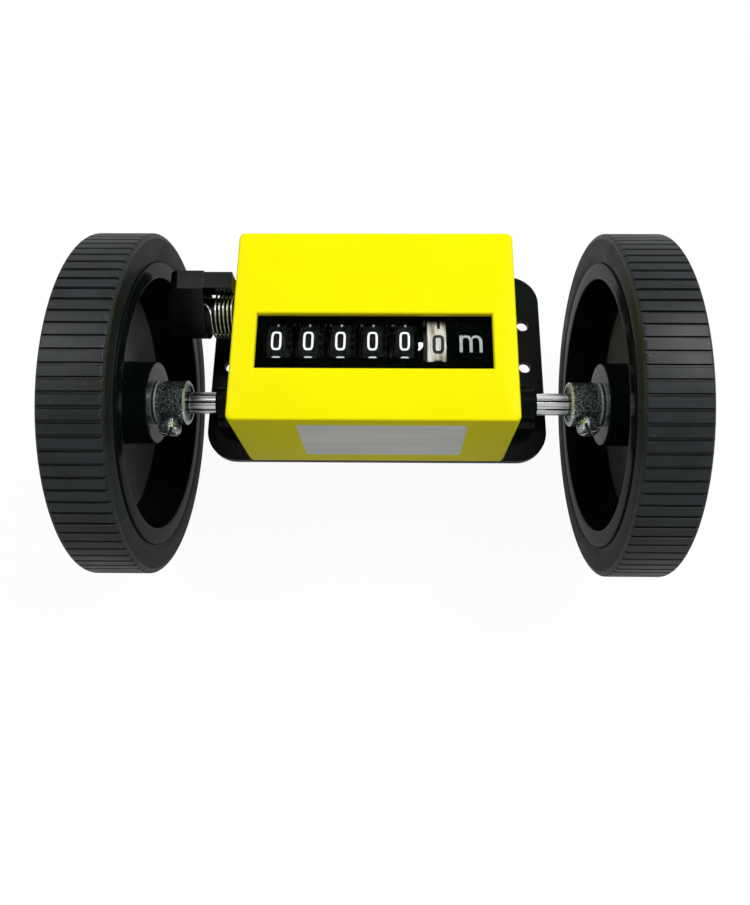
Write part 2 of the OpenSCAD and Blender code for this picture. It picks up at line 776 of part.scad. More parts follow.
// Number wheel k counts from the left: 1 is the largest unit, wheel_count shows tenths
module number_wheel(k) {
    x = first_wheel_x + (k - 1) * wheel_pitch;
    a = x - face_w / 2;
    b = x + face_w / 2;
    hub = 3.4;
    carry_r = transfer_mesh - transfer_module * (transfer_pinion_teeth / 2 + 0.75) - 1.3;
    tint = k == wheel_count ? "#ece6d2" : "#1d1e20";
    color(tint) on_axis(number_axis) difference() {
        union() {
            turned_x([[a, 0], [a, face_r - 0.2], [a + 0.2, face_r], [b - 0.2, face_r],
                [b, face_r - 0.2], [b, 0]]);
            bar_x(b - 0.1, b + heart_end, hub);
            slab_x(b + transfer_gear_w - 0.1, b + heart_end) heart_outline();
            if (k < wheel_count)
                slab_x(b - 0.1, b + transfer_gear_w)
                    gear_outline(transfer_gear_teeth, transfer_module, transfer_angle,
                        pressure = 25, head = 0.75, foot = 1);
            if (k > 1) carry_disc(a, carry_r);
        }
        bar_x(a - carry_w - 1, b + heart_end + 1, spindle_r + running_clearance);
    }
}

// Disc on the left of a wheel, with the two teeth that step the pinion once a turn
module carry_disc(x, r) {
    bar_x(x - carry_w, x + 0.1, r);
    slab_x(x - carry_w, x + 0.1) for (side = [-1, 1])
        rotate(transfer_angle + 180 + side * 9) translate([r - 0.6, -0.6]) square([1.4, 1.2]);
}

// Eight teeth towards the higher wheel, every second one towards the lower wheel
module transfer_pinion(k) {
    a = first_wheel_x + (k - 1) * wheel_pitch + face_w / 2 + 0.1;
    b = a + gap_w - 0.2;
    first = transfer_angle + 180 + 180 / transfer_pinion_teeth;
    color("#d9d4c4") on_axis(pinion_axis) difference() {
        union() {
            slab_x(a, a + transfer_gear_w)
                gear_outline(transfer_pinion_teeth, transfer_module, first,
                    pressure = 25, head = 0.75, foot = 1);
            slab_x(b - carry_w, b)
                gear_outline(transfer_pinion_teeth, transfer_module, first,
                    pressure = 25, head = 0.75, foot = 1, every = 2);
            bar_x(a, b, 2);
        }
        bar_x(a - 1, b + 1, pinion_spindle_r + running_clearance);
    }
}

module number_wheel_1() { number_wheel(1); }
module number_wheel_2() { number_wheel(2); }
module number_wheel_3() { number_wheel(3); }
module number_wheel_4() { number_wheel(4); }
module number_wheel_5() { number_wheel(5); }
module number_wheel_6() { number_wheel(6); }
module transfer_pinion_1() { transfer_pinion(1); }
module transfer_pinion_2() { transfer_pinion(2); }
module transfer_pinion_3() { transfer_pinion(3); }
module transfer_pinion_4() { transfer_pinion(4); }
module transfer_pinion_5() { transfer_pinion(5); }

// ---- reset mechanism ----

pinion_spindle_r = 0.8;
comb_r = 2.9;
comb_a = left_arm_x + cradle_t + slip;
comb_b = right_arm_x - slip;

module reset_shaft() {
    a = -lever_end_x + 2.5;
    b = right_plate_x + plate_t + 0.8;
    r = reset_r;
    color(steel) on_axis(reset_axis)
        turned_x([[a, 0], [a, r], [b - 0.4, r], [b, r - 0.4], [b, 0]]);
}

// A sleeve with one finger for each heart cam
module reset_comb() {
    finger_t = 0.8;
    color(zinc) on_axis(reset_axis) difference() {
        union() {
            bar_x(comb_a, comb_b, comb_r);
            for (k = [1 : wheel_count])
                slab_x(finger_x(k), finger_x(k) + finger_t)
                    rotate(finger_rest_angle) polygon([[0, -2.2], [finger_len - 0.5, -1.1],
                        [finger_len, -0.5], [finger_len, 0.5], [finger_len - 0.5, 1.1], [0, 2.2]]);
        }
        bar_x(comb_a - 1, comb_b + 1, reset_r + slip);
    }
}

function finger_x(k) = first_wheel_x + (k - 1) * wheel_pitch + face_w / 2 + transfer_gear_w + 0.2;

// Two arms on the reset shaft that carry the transfer pinions out of mesh
module pinion_cradle() {
    reach = pinion_axis - reset_axis;
    color(zinc) for (x = [left_arm_x, right_arm_x])
        on_axis(reset_axis) difference() {
            slab_x(x, x + cradle_t) {
                circle(r = comb_r + 0.8);
                translate(reach) circle(r = 2);
                rotate(angle_of(reach)) translate([0, -1.8]) square([norm(reach), 3.6]);
            }
            bar_x(x - 1, x + cradle_t + 1, reset_r + slip);
            on_axis(reach) bar_x(x - 1, x + cradle_t + 1, pinion_spindle_r + slip);
        }
}

module pinion_spindle() {
    color(steel) on_axis(pinion_axis)
        bar_x(left_arm_x - 0.2, right_arm_x + cradle_t + 0.3, pinion_spindle_r);
}

// ---- reset lever, pushed back and down to clear the figures ----

hub_r_lever = spring_r + spring_wire / 2;
function tangent_point(p, r, side) = polar(r, angle_of(p) + side * acos(r / norm(p)));

// Side view of the thumb block: a flat pad carried by a round hub
module lever_block_outline() {
    front = [pad_front, pad_rise];
    back = [pad_front + pad_d, pad_rise];
    low = [pad_front + pad_d, pad_rise - 3.5];
    circle(r = hub_r_lever);
    polygon([front, back, low, tangent_point(low, hub_r_lever, -1), [0, 0],
        tangent_point(front, hub_r_lever, 1)]);
}

// Side view of the hood that reaches over the spring, a little behind the pad's edges
module lever_hood_outline() {
    step = 0.35;
    difference() {
        translate([pad_front + step, 1]) square([pad_d - 2 * step, pad_rise - 1 - step / 2]);
        circle(r = hub_r_lever + 0.35);
    }
}

// Front view of the thumb block, rounded at its outer end
module lever_end_outline(a, b) {
    low = -hub_r_lever - 1;
    high = pad_rise;
    r = lever_end_r;
    translate([a + r, low]) square([b - a - r, high - low]);
    translate([a, low + r]) square([r + 0.1, high - low - 2 * r]);
    for (z = [low + r, high - r]) translate([a + r, z]) circle(r = r);
}

module reset_lever() {
    a = -lever_end_x;
    b = a + lever_block_w;
    hub_end = -block_inner_x - 0.9;
    screw_seat = a + 2.5;
    deep = 3 * (pad_front + pad_d);
    color(black_plastic) on_axis(reset_axis) difference() {
        union() {
            intersection() {
                slab_x(a, b) lever_block_outline();
                translate([0, deep / 2, 0]) rotate([90, 0, 0]) linear_extrude(deep) lever_end_outline(a, b);
            }
            slab_x(b - 0.1, -lever_inner_x) lever_hood_outline();
            bar_x(b - 0.1, hub_end, spring_r - spring_wire / 2 - 0.9);
        }
        bar_x(a - 1, screw_seat, 2.8);
        bar_x(a - 1, hub_end + 1, reset_r + slip);
        // seat of the spring's moving leg
        on_axis(polar(spring_r, spring_start_angle)) bar_x(b - 1.6, b + 1, spring_wire / 2 + 0.15);
    }
}

module lever_screw() {
    a = -lever_end_x + 0.4;
    b = -lever_end_x + 2.48;
    color(zinc) on_axis(reset_axis) difference() {
        turned_x([[a, 0], [a, 1.8], [a + 0.5, 2.5], [b, 2.5], [b, 0]]);
        translate([a - 1, -0.35, -3]) cube([1.7, 0.7, 6]);
    }
}

// The return spring: round turns of wire about the lever's hub. One end leg sits in the
// thumb block and the other in the cover's side.
spring_start_angle = 82;
spring_end_angle = 247;
spring_stand = 2;             // from the thumb block to the first turn
spring_start = -lever_seam_x + spring_stand;
all_turns = spring_turns + (spring_end_angle - spring_start_angle) / 360;
function spring_point(turn) = concat([spring_start + turn * spring_pitch],
    polar(spring_r, spring_start_angle + 360 * turn));

module reset_spring() {
    rings_per_turn = 8;
    sides = 6;
    rings = round(all_turns * rings_per_turn);
    coil = [for (i = [0 : rings]) spring_point(i / rings * all_turns)];
    first = coil[0];
    last = coil[rings];
    path = concat([first - [spring_start - spring_start_leg, 0, 0], first - [0.6, 0, 0]], coil,
        [last + [0.6, 0, 0], [spring_end_leg, last[1], last[2]]]);
    centre_gap = min([for (i = [0 : rings], j = [i + 5 : 1 : rings]) norm(coil[i] - coil[j])]);
    echo(least_gap_between_turns = centre_gap - spring_wire);
    color(steel) on_axis(reset_axis) tube(path, spring_wire / 2, sides);
}
spring_start_leg = -lever_seam_x - 1.3;
spring_end_leg = -cover_w / 2 + cover_wall / 2;

function unit(v) = v / norm(v);

// A tube along a path round the X axis: each ring has one spoke straight out from the axis
module tube(path, r, sides) {
    n = len(path);
    points = [for (i = [0 : n - 1])
        let (t = unit(path[min(i + 1, n - 1)] - path[max(i - 1, 0)]),
            out = unit([0, path[i][1], path[i][2]]), u = unit(out - (out * t) * t), v = cross(t, u))
        for (s = [0 : sides - 1]) path[i] + r * (cos(360 * s / sides) * u + sin(360 * s / sides) * v)];
    skin = [for (i = [0 : n - 2], s = [0 : sides - 1])
        let (a = i * sides + s, b = i * sides + (s + 1) % sides)
        each [[a, b + sides, b], [a, a + sides, b + sides]]];
    polyhedron(points, concat(skin, [[for (s = [0 : sides - 1]) s]],
        [[for (s = [sides - 1 : -1 : 0]) (n - 1) * sides + s]]));
}

base_plate();
cover();
window_lens();
number_mask();
cover_screws();
left_side_plate();
right_side_plate();
plate_spacers();
plate_screws();
left_bush();
right_bush();
drive_shaft();
shaft_rings();
shaft_gear();
left_wheel_rim();
right_wheel_rim();
left_tyre();
right_tyre();
left_collar();
right_collar();
collar_screws();
idler_stud();
idler_gear();
number_spindle();
number_wheel_1();
number_wheel_2();
number_wheel_3();
number_wheel_4();
number_wheel_5();
number_wheel_6();
tenths_gear();
transfer_pinion_1();
transfer_pinion_2();
transfer_pinion_3();
transfer_pinion_4();
transfer_pinion_5();
reset_shaft();
reset_comb();
pinion_cradle();
pinion_spindle();
reset_lever();
lever_screw();
reset_spring();
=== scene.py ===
# Cable length counter: finishes, printed figures and fine pieces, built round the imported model
import json
import bpy
import numpy as np
from mathutils import Matrix, Vector


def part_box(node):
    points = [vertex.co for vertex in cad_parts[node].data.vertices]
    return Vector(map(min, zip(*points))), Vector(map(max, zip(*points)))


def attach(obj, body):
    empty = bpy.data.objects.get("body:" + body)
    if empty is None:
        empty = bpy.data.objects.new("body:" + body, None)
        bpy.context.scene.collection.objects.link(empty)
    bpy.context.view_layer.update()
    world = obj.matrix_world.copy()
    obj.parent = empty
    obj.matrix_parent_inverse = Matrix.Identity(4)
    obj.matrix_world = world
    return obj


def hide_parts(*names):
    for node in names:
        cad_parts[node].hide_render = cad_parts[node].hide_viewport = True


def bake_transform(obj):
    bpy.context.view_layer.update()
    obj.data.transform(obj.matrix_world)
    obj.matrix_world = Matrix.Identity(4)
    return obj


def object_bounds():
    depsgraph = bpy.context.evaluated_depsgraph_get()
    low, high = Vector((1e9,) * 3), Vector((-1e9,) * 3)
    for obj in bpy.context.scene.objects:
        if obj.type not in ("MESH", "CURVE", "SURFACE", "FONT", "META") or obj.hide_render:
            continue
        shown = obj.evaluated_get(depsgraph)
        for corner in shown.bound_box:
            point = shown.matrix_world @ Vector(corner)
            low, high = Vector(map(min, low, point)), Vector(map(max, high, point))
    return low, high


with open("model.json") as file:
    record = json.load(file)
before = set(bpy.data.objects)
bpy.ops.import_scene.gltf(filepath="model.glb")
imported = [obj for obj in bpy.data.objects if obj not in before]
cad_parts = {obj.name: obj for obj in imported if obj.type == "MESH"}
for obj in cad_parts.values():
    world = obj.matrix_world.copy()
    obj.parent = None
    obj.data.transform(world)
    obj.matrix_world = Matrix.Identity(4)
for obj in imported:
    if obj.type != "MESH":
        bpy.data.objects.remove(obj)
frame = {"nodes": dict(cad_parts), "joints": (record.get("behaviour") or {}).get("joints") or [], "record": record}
nodes = frame["nodes"]
cadLow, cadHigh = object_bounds()
mm = 0.001
pivots = {j["name"]: j["pos_m"] for j in frame["joints"]}   # a point [x, y, z] on each joint's axis
bodyOf = {node: body for body, members in frame["record"]["behaviour"]["bodies"].items()
          for node in members}
slotOf = {part["node"]: part["material_slot"] for part in frame["record"]["subparts"]}
print("frame loaded:", len(nodes), "nodes")

# The camera stands above and in front of the counter, as the photographer's did. Its focal length
# and centre are in pixels of the picture, its turn is in radians.
cameraView = {"place": (0.006245, -0.102585, 0.244729), "turn": (0.343, 0.014, 0.009),
              "focal": 775.71, "centre": (385.682, 390.705), "picture": (750, 905),
              "sensor": 36, "clip": (0.005, 20)}


def makeCamera(view):
    # the lens and the shifts follow from the pinhole's focal length and centre
    camera = bpy.data.cameras.new("photoCamera")
    holder = bpy.data.objects.new("photoCamera", camera)
    bpy.context.scene.collection.objects.link(holder)
    wide, high = view["picture"]
    longSide = max(wide, high)
    camera.sensor_fit = "AUTO"
    camera.sensor_width = view["sensor"]
    camera.lens = view["focal"] * view["sensor"] / longSide
    camera.shift_x = (wide / 2 - view["centre"][0]) / longSide
    camera.shift_y = (view["centre"][1] - high / 2) / longSide
    camera.clip_start, camera.clip_end = view["clip"]
    pitch, yaw, roll = view["turn"]
    turn = (Matrix.Rotation(yaw, 4, "Y") @ Matrix.Rotation(pitch, 4, "X")
            @ Matrix.Rotation(roll, 4, "Z"))
    holder.matrix_world = Matrix.Translation(view["place"]) @ turn
    bpy.context.scene.camera = holder


makeCamera(cameraView)
print("camera set")

# What every mesh gets: loose triangles are joined within this distance in metres, and edges that
# bend by less than this angle in radians are shaded smooth.
shading = {"merge": 2e-6, "gentle": 0.6, "gentleOnNodes": 0.5}


def addNode(tree, kind, spot=(0, 0), inputs=None, **settings):
    # one shader or geometry node with its settings and socket values
    node = tree.nodes.new(kind)
    node.location = spot
    for key, value in settings.items():
        setattr(node, key, value)
    for key, value in (inputs or {}).items():
        node.inputs[key].default_value = value
    return node


def newGroup(name, kind, inputs, outputs):
    # inputs and outputs are (name, socket type) pairs, an input with its usual value as third
    group = bpy.data.node_groups.new(name, kind)
    for label, socket, *usual in inputs:
        made = group.interface.new_socket(label, in_out="INPUT", socket_type=socket)
        if usual:
            made.default_value = usual[0]
    for label, socket in outputs:
        group.interface.new_socket(label, in_out="OUTPUT", socket_type=socket)
    return group


def smoothShading():
    # geometry nodes: join the loose triangles, then shade smooth wherever faces meet gently
    group = newGroup("shadeGently", "GeometryNodeTree",
                     [("Geometry", "NodeSocketGeometry"),
                      ("Angle", "NodeSocketFloat", shading["gentle"])],
                     [("Geometry", "NodeSocketGeometry")])
    start = addNode(group, "NodeGroupInput", (-800, 0))
    merge = addNode(group, "GeometryNodeMergeByDistance", (-600, 0), {"Distance": shading["merge"]})
    faces = addNode(group, "GeometryNodeSetShadeSmooth", (-400, 0), {"Shade Smooth": True},
                    domain="FACE")
    bend = addNode(group, "GeometryNodeInputMeshEdgeAngle", (-600, -200))
    gentle = addNode(group, "FunctionNodeCompare", (-400, -200), data_type="FLOAT",
                     operation="LESS_THAN")
    edges = addNode(group, "GeometryNodeSetShadeSmooth", (-200, 0), domain="EDGE")
    end = addNode(group, "NodeGroupOutput", (0, 0))
    link = group.links.new
    link(start.outputs["Geometry"], merge.inputs["Geometry"])
    link(merge.outputs["Geometry"], faces.inputs["Geometry"])
    link(faces.outputs["Geometry"], edges.inputs["Geometry"])
    link(bend.outputs["Unsigned Angle"], gentle.inputs["A"])
    link(start.outputs["Angle"], gentle.inputs["B"])
    link(gentle.outputs["Result"], edges.inputs["Shade Smooth"])
    link(edges.outputs["Geometry"], end.inputs["Geometry"])
    return group


gentleShading = smoothShading()


def shadeGently(piece, angle):
    modifier = piece.modifiers.new("shadeGently", "NODES")
    modifier.node_group = gentleShading
    socket = next(s for s in gentleShading.interface.items_tree if s.name == "Angle")
    modifier[socket.identifier] = angle


def skin(loops, ring=False):
    # loops is an array [loop, point, 3] in millimetres. Quads join each closed loop to the next,
    # and the last to the first where ring is set; otherwise a flat face closes each end. It
    # returns the points in metres and blocks of faces that point outwards, which is when the
    # closed surface has a positive signed volume.
    loops = np.asarray(loops, float) * mm
    rows, across = loops.shape[:2]
    row = np.arange(rows if ring else rows - 1)[:, None]
    col = np.arange(across)[None, :]
    after, beside = (row + 1) % rows, (col + 1) % across
    quads = np.stack([row * across + col, row * across + beside, after * across + beside,
                      after * across + col], -1).reshape(-1, 4)
    ends = [np.arange(across)[::-1], np.arange((rows - 1) * across, rows * across)]
    blocks = [quads] if ring else [quads] + [end[None] for end in ends]
    points = loops.reshape(-1, 3)
    volume = sum(np.einsum("fei,fei->", np.repeat(points[b[:, :1]], b.shape[1] - 2, 1),
                           np.cross(points[b[:, 1:-1]], points[b[:, 2:]])) for b in blocks)
    if volume < 0:
        blocks = [np.roll(b[:, ::-1], 1, 1) for b in blocks]   # each face keeps its first corner
    return points, blocks


def makePiece(name, skins, paint, body, angle=shading["gentle"]):
    # one mesh of one or more skins, attached to its body where it has one
    faces, base = [], 0
    for points, blocks in skins:
        for block in blocks:
            faces += (block + base).tolist()
        base += len(points)
    mesh = bpy.data.meshes.new(name)
    mesh.from_pydata(np.vstack([points for points, _ in skins]), [], faces)
    mesh.materials.append(finish[paint])
    piece = bpy.data.objects.new(name, mesh)
    bpy.context.scene.collection.objects.link(piece)
    shadeGently(piece, angle)
    if body:
        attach(piece, body)
    return piece


def roundedProfile(rows, steps, most=0.45):
    # a closed outline from rows [x, y, corner radius]. Each corner becomes a quadratic curve that
    # starts and ends a radius away from it, but no farther than the share most of the shorter side.
    points, radii = np.array(rows, float)[:, :2], np.array(rows, float)[:, 2]
    before, after = np.roll(points, 1, 0) - points, np.roll(points, -1, 0) - points
    lengths = np.linalg.norm(before, axis=1), np.linalg.norm(after, axis=1)
    reach = np.minimum(radii, most * np.minimum(*lengths))[:, None]
    first = points + before / lengths[0][:, None] * reach
    last = points + after / lengths[1][:, None] * reach
    t = np.linspace(0, 1, steps + 1)[None, :, None]
    curve = ((1 - t) ** 2 * first[:, None] + 2 * t * (1 - t) * points[:, None]
             + t ** 2 * last[:, None])
    return curve.reshape(-1, 2)


def aroundAxis(x, r, angle, axis):
    # points in millimetres at x along an X axis, r away from it, angle from +Y towards +Z
    return np.stack([x + 0 * angle, axis[1] / mm + r * np.cos(angle),
                     axis[2] / mm + r * np.sin(angle)], -1)


def revolve(profile, axis, turns):
    # each loop is the [x, radius] profile at one angle round the axis
    angle = np.linspace(0, 2 * np.pi, turns, endpoint=False)[:, None]
    return aroundAxis(profile[None, :, 0], profile[None, :, 1], angle, axis)


def boxOf(node):
    # lowest and highest x, and the radius in z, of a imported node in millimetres
    low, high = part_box(node)
    return low.x / mm, high.x / mm, (high.z - low.z) / 2 / mm


def markPoints(piece, values):
    # a point attribute that the finish reads as its painted shade
    mark = piece.data.attributes.new("paintedShade", "FLOAT", "POINT")
    mark.data.foreach_set("value", np.asarray(values, np.float32))


def paintBands(piece, bands):
    # each band is a finish with a test of the face centres' x and distance from the shaft, in mm
    mesh = piece.data
    centre = np.empty(len(mesh.polygons) * 3)
    mesh.polygons.foreach_get("center", centre)
    centre = centre.reshape(-1, 3) / mm
    r = np.hypot(centre[:, 1] - shaftAxis[1] / mm, centre[:, 2] - shaftAxis[2] / mm)
    which = np.zeros(len(centre), np.int32)
    for paint, test in bands:
        mesh.materials.append(finish[paint])
        which[test(centre[:, 0], r)] = len(mesh.materials) - 1
    mesh.polygons.foreach_set("material_index", which)


print("helpers ready")


def surfaceEffect():
    # group: fine grain, slow patches and rare specks on Object coordinates. Stretch squeezes the
    # pattern along X, so a low value draws it out along the shaft.
    group = newGroup("surfaceEffect", "ShaderNodeTree",
                     [("Grain Scale", "NodeSocketFloat", 3000.0),
                      ("Patch Scale", "NodeSocketFloat", 120.0),
                      ("Stretch", "NodeSocketFloat", 1.0)],
                     [(name, "NodeSocketFloat") for name in ("Grain", "Patches", "Specks")])
    start = addNode(group, "NodeGroupInput", (-1000, 0))
    place = addNode(group, "ShaderNodeTexCoord", (-1000, -200))
    squeeze = addNode(group, "ShaderNodeCombineXYZ", (-800, 0), {"Y": 1.0, "Z": 1.0})
    drawn = addNode(group, "ShaderNodeVectorMath", (-600, 0), operation="MULTIPLY")
    grain = addNode(group, "ShaderNodeTexNoise", (-400, 200), {"Detail": 3.0, "Roughness": 0.6})
    patches = addNode(group, "ShaderNodeTexNoise", (-400, -50), {"Detail": 4.0, "Roughness": 0.55})
    specks = addNode(group, "ShaderNodeTexNoise", (-400, -300), {"Scale": 900.0, "Detail": 1.0})
    rare = addNode(group, "ShaderNodeMapRange", (-200, -300), {"From Min": 0.68, "From Max": 0.78})
    end = addNode(group, "NodeGroupOutput", (0, 0))
    link = group.links.new
    link(start.outputs["Stretch"], squeeze.inputs["X"])
    link(place.outputs["Object"], drawn.inputs[0])
    link(squeeze.outputs["Vector"], drawn.inputs[1])
    link(drawn.outputs["Vector"], grain.inputs["Vector"])
    link(start.outputs["Grain Scale"], grain.inputs["Scale"])
    link(drawn.outputs["Vector"], patches.inputs["Vector"])
    link(start.outputs["Patch Scale"], patches.inputs["Scale"])
    link(place.outputs["Object"], specks.inputs["Vector"])
    link(specks.outputs["Fac"], rare.inputs["Value"])
    link(grain.outputs["Fac"], end.inputs["Grain"])
    link(patches.outputs["Fac"], end.inputs["Patches"])
    link(rare.outputs["Result"], end.inputs["Specks"])
    return group


def edgeEffect():
    # group: a softened normal, and a mask that is 1 where it leaves the true one, on sharp edges;
    # the mask places a painted highlight
    group = newGroup("edgeEffect", "ShaderNodeTree", [("Radius", "NodeSocketFloat", 0.0002)],
                     [("Normal", "NodeSocketVector"), ("Edge", "NodeSocketFloat")])
    start = addNode(group, "NodeGroupInput", (-800, 0))
    soft = addNode(group, "ShaderNodeBevel", (-600, 0), samples=6)
    plain = addNode(group, "ShaderNodeNewGeometry", (-600, -200))
    same = addNode(group, "ShaderNodeVectorMath", (-400, -100), operation="DOT_PRODUCT")
    edge = addNode(group, "ShaderNodeMapRange", (-200, -100), {"From Min": 0.995, "From Max": 0.85})
    end = addNode(group, "NodeGroupOutput", (0, 0))
    link = group.links.new
    link(start.outputs["Radius"], soft.inputs["Radius"])
    link(soft.outputs["Normal"], same.inputs[0])
    link(plain.outputs["Normal"], same.inputs[1])
    link(same.outputs["Value"], edge.inputs["Value"])
    link(soft.outputs["Normal"], end.inputs["Normal"])
    link(edge.outputs["Result"], end.inputs["Edge"])
    return group


surfaceGroup = surfaceEffect()
edgeGroup = edgeEffect()
colourSocket = {"share": 0, "near": 6, "far": 7, "result": 2}   # of a Mix node that mixes colours


def mixColours(tree, spot, near, far, share):
    # from near, a colour or a socket, to the colour far by the socket share
    node = addNode(tree, "ShaderNodeMix", spot, {colourSocket["far"]: (*far, 1)}, data_type="RGBA")
    if isinstance(near, tuple):
        node.inputs[colourSocket["near"]].default_value = (*near, 1)
    else:
        tree.links.new(near, node.inputs[colourSocket["near"]])
    tree.links.new(share, node.inputs[colourSocket["share"]])
    return node.outputs[colourSocket["result"]]


def timesValue(tree, spot, socket, factor):
    node = addNode(tree, "ShaderNodeMath", spot, {1: factor}, operation="MULTIPLY")
    tree.links.new(socket, node.inputs[0])
    return node.outputs["Value"]


def mixShaders(tree, spot, first, second, share):
    node = addNode(tree, "ShaderNodeMixShader", spot)
    for number, socket in enumerate((share, first, second)):
        tree.links.new(socket, node.inputs[number])
    return node.outputs["Shader"]


def bareNodes(owner):
    # the empty node tree of a material or a world
    owner.use_nodes = True
    owner.node_tree.nodes.clear()
    return owner.node_tree


# What a finish has where it says nothing else. The scales are per metre, the bump's depth is in
# metres, and contrast is the band of the patches over which dark turns to light.
usualLook = {"grainScale": 3000.0, "patchScale": 120.0, "stretch": 1.0, "contrast": 0.2,
             "bump": 0.1, "bumpDepth": 0.00003, "metallic": 0.0, "specular": 0.5, "edgeHighlightShare": 0.3}


def makeFinish(name, given):
    # the base colour and the roughness drift with the patches and the grain is a fine bump. Rare
    # specks, the painted shade that is marked on the points and a painted highlight on sharp edges
    # mix in where the look has them; edge is then the radius in metres to which sharp edges are
    # softened.
    look = {**usualLook, **given}
    material = bpy.data.materials.new(name)
    tree = bareNodes(material)
    link = tree.links.new
    surface = addNode(tree, "ShaderNodeGroup", (-900, 0), {
        "Grain Scale": look["grainScale"], "Patch Scale": look["patchScale"],
        "Stretch": look["stretch"]}, node_tree=surfaceGroup)
    half = look["contrast"] / 2
    spread = addNode(tree, "ShaderNodeMapRange", (-750, 0),
                     {"From Min": 0.5 - half, "From Max": 0.5 + half})
    rough = addNode(tree, "ShaderNodeMapRange", (-600, -100), {
        "From Min": 0.3, "From Max": 0.7, "To Min": look["rough"][0], "To Max": look["rough"][1]})
    bump = addNode(tree, "ShaderNodeBump", (-400, -300),
                   {"Strength": look["bump"], "Distance": look["bumpDepth"]})
    shader = addNode(tree, "ShaderNodeBsdfPrincipled", (0, 0),
                     {"Metallic": look["metallic"], "Specular IOR Level": look["specular"]})
    end = addNode(tree, "ShaderNodeOutputMaterial", (300, 0))
    link(surface.outputs["Patches"], spread.inputs["Value"])
    link(surface.outputs["Patches"], rough.inputs["Value"])
    link(surface.outputs["Grain"], bump.inputs["Height"])
    colour = mixColours(tree, (-600, 200), look["dark"], look["light"], spread.outputs["Result"])
    if "speck" in look:
        share = timesValue(tree, (-600, 400), surface.outputs["Specks"], look["speckShare"])
        colour = mixColours(tree, (-400, 200), colour, look["speck"], share)
    # painted shade, marked on the points down in grooves and flutes
    if "paintedShade" in look:
        marked = addNode(tree, "ShaderNodeAttribute", (-600, 600), attribute_name="paintedShade")
        colour = mixColours(tree, (-300, 400), colour, look["paintedShade"], marked.outputs["Fac"])
    # a painted highlight on sharp edges, in edgeHighlight or else in the light colour
    if "edge" in look:
        edge = addNode(tree, "ShaderNodeGroup", (-700, -400), {"Radius": look["edge"]},
                       node_tree=edgeGroup)
        link(edge.outputs["Normal"], bump.inputs["Normal"])
        share = timesValue(tree, (-400, -100), edge.outputs["Edge"], look["edgeHighlightShare"])
        colour = mixColours(tree, (-200, 200), colour, look.get("edgeHighlight", look["light"]), share)
    link(colour, shader.inputs["Base Color"])
    link(rough.outputs["Result"], shader.inputs["Roughness"])
    link(bump.outputs["Normal"], shader.inputs["Normal"])
    link(shader.outputs["BSDF"], end.inputs["Surface"])
    return material
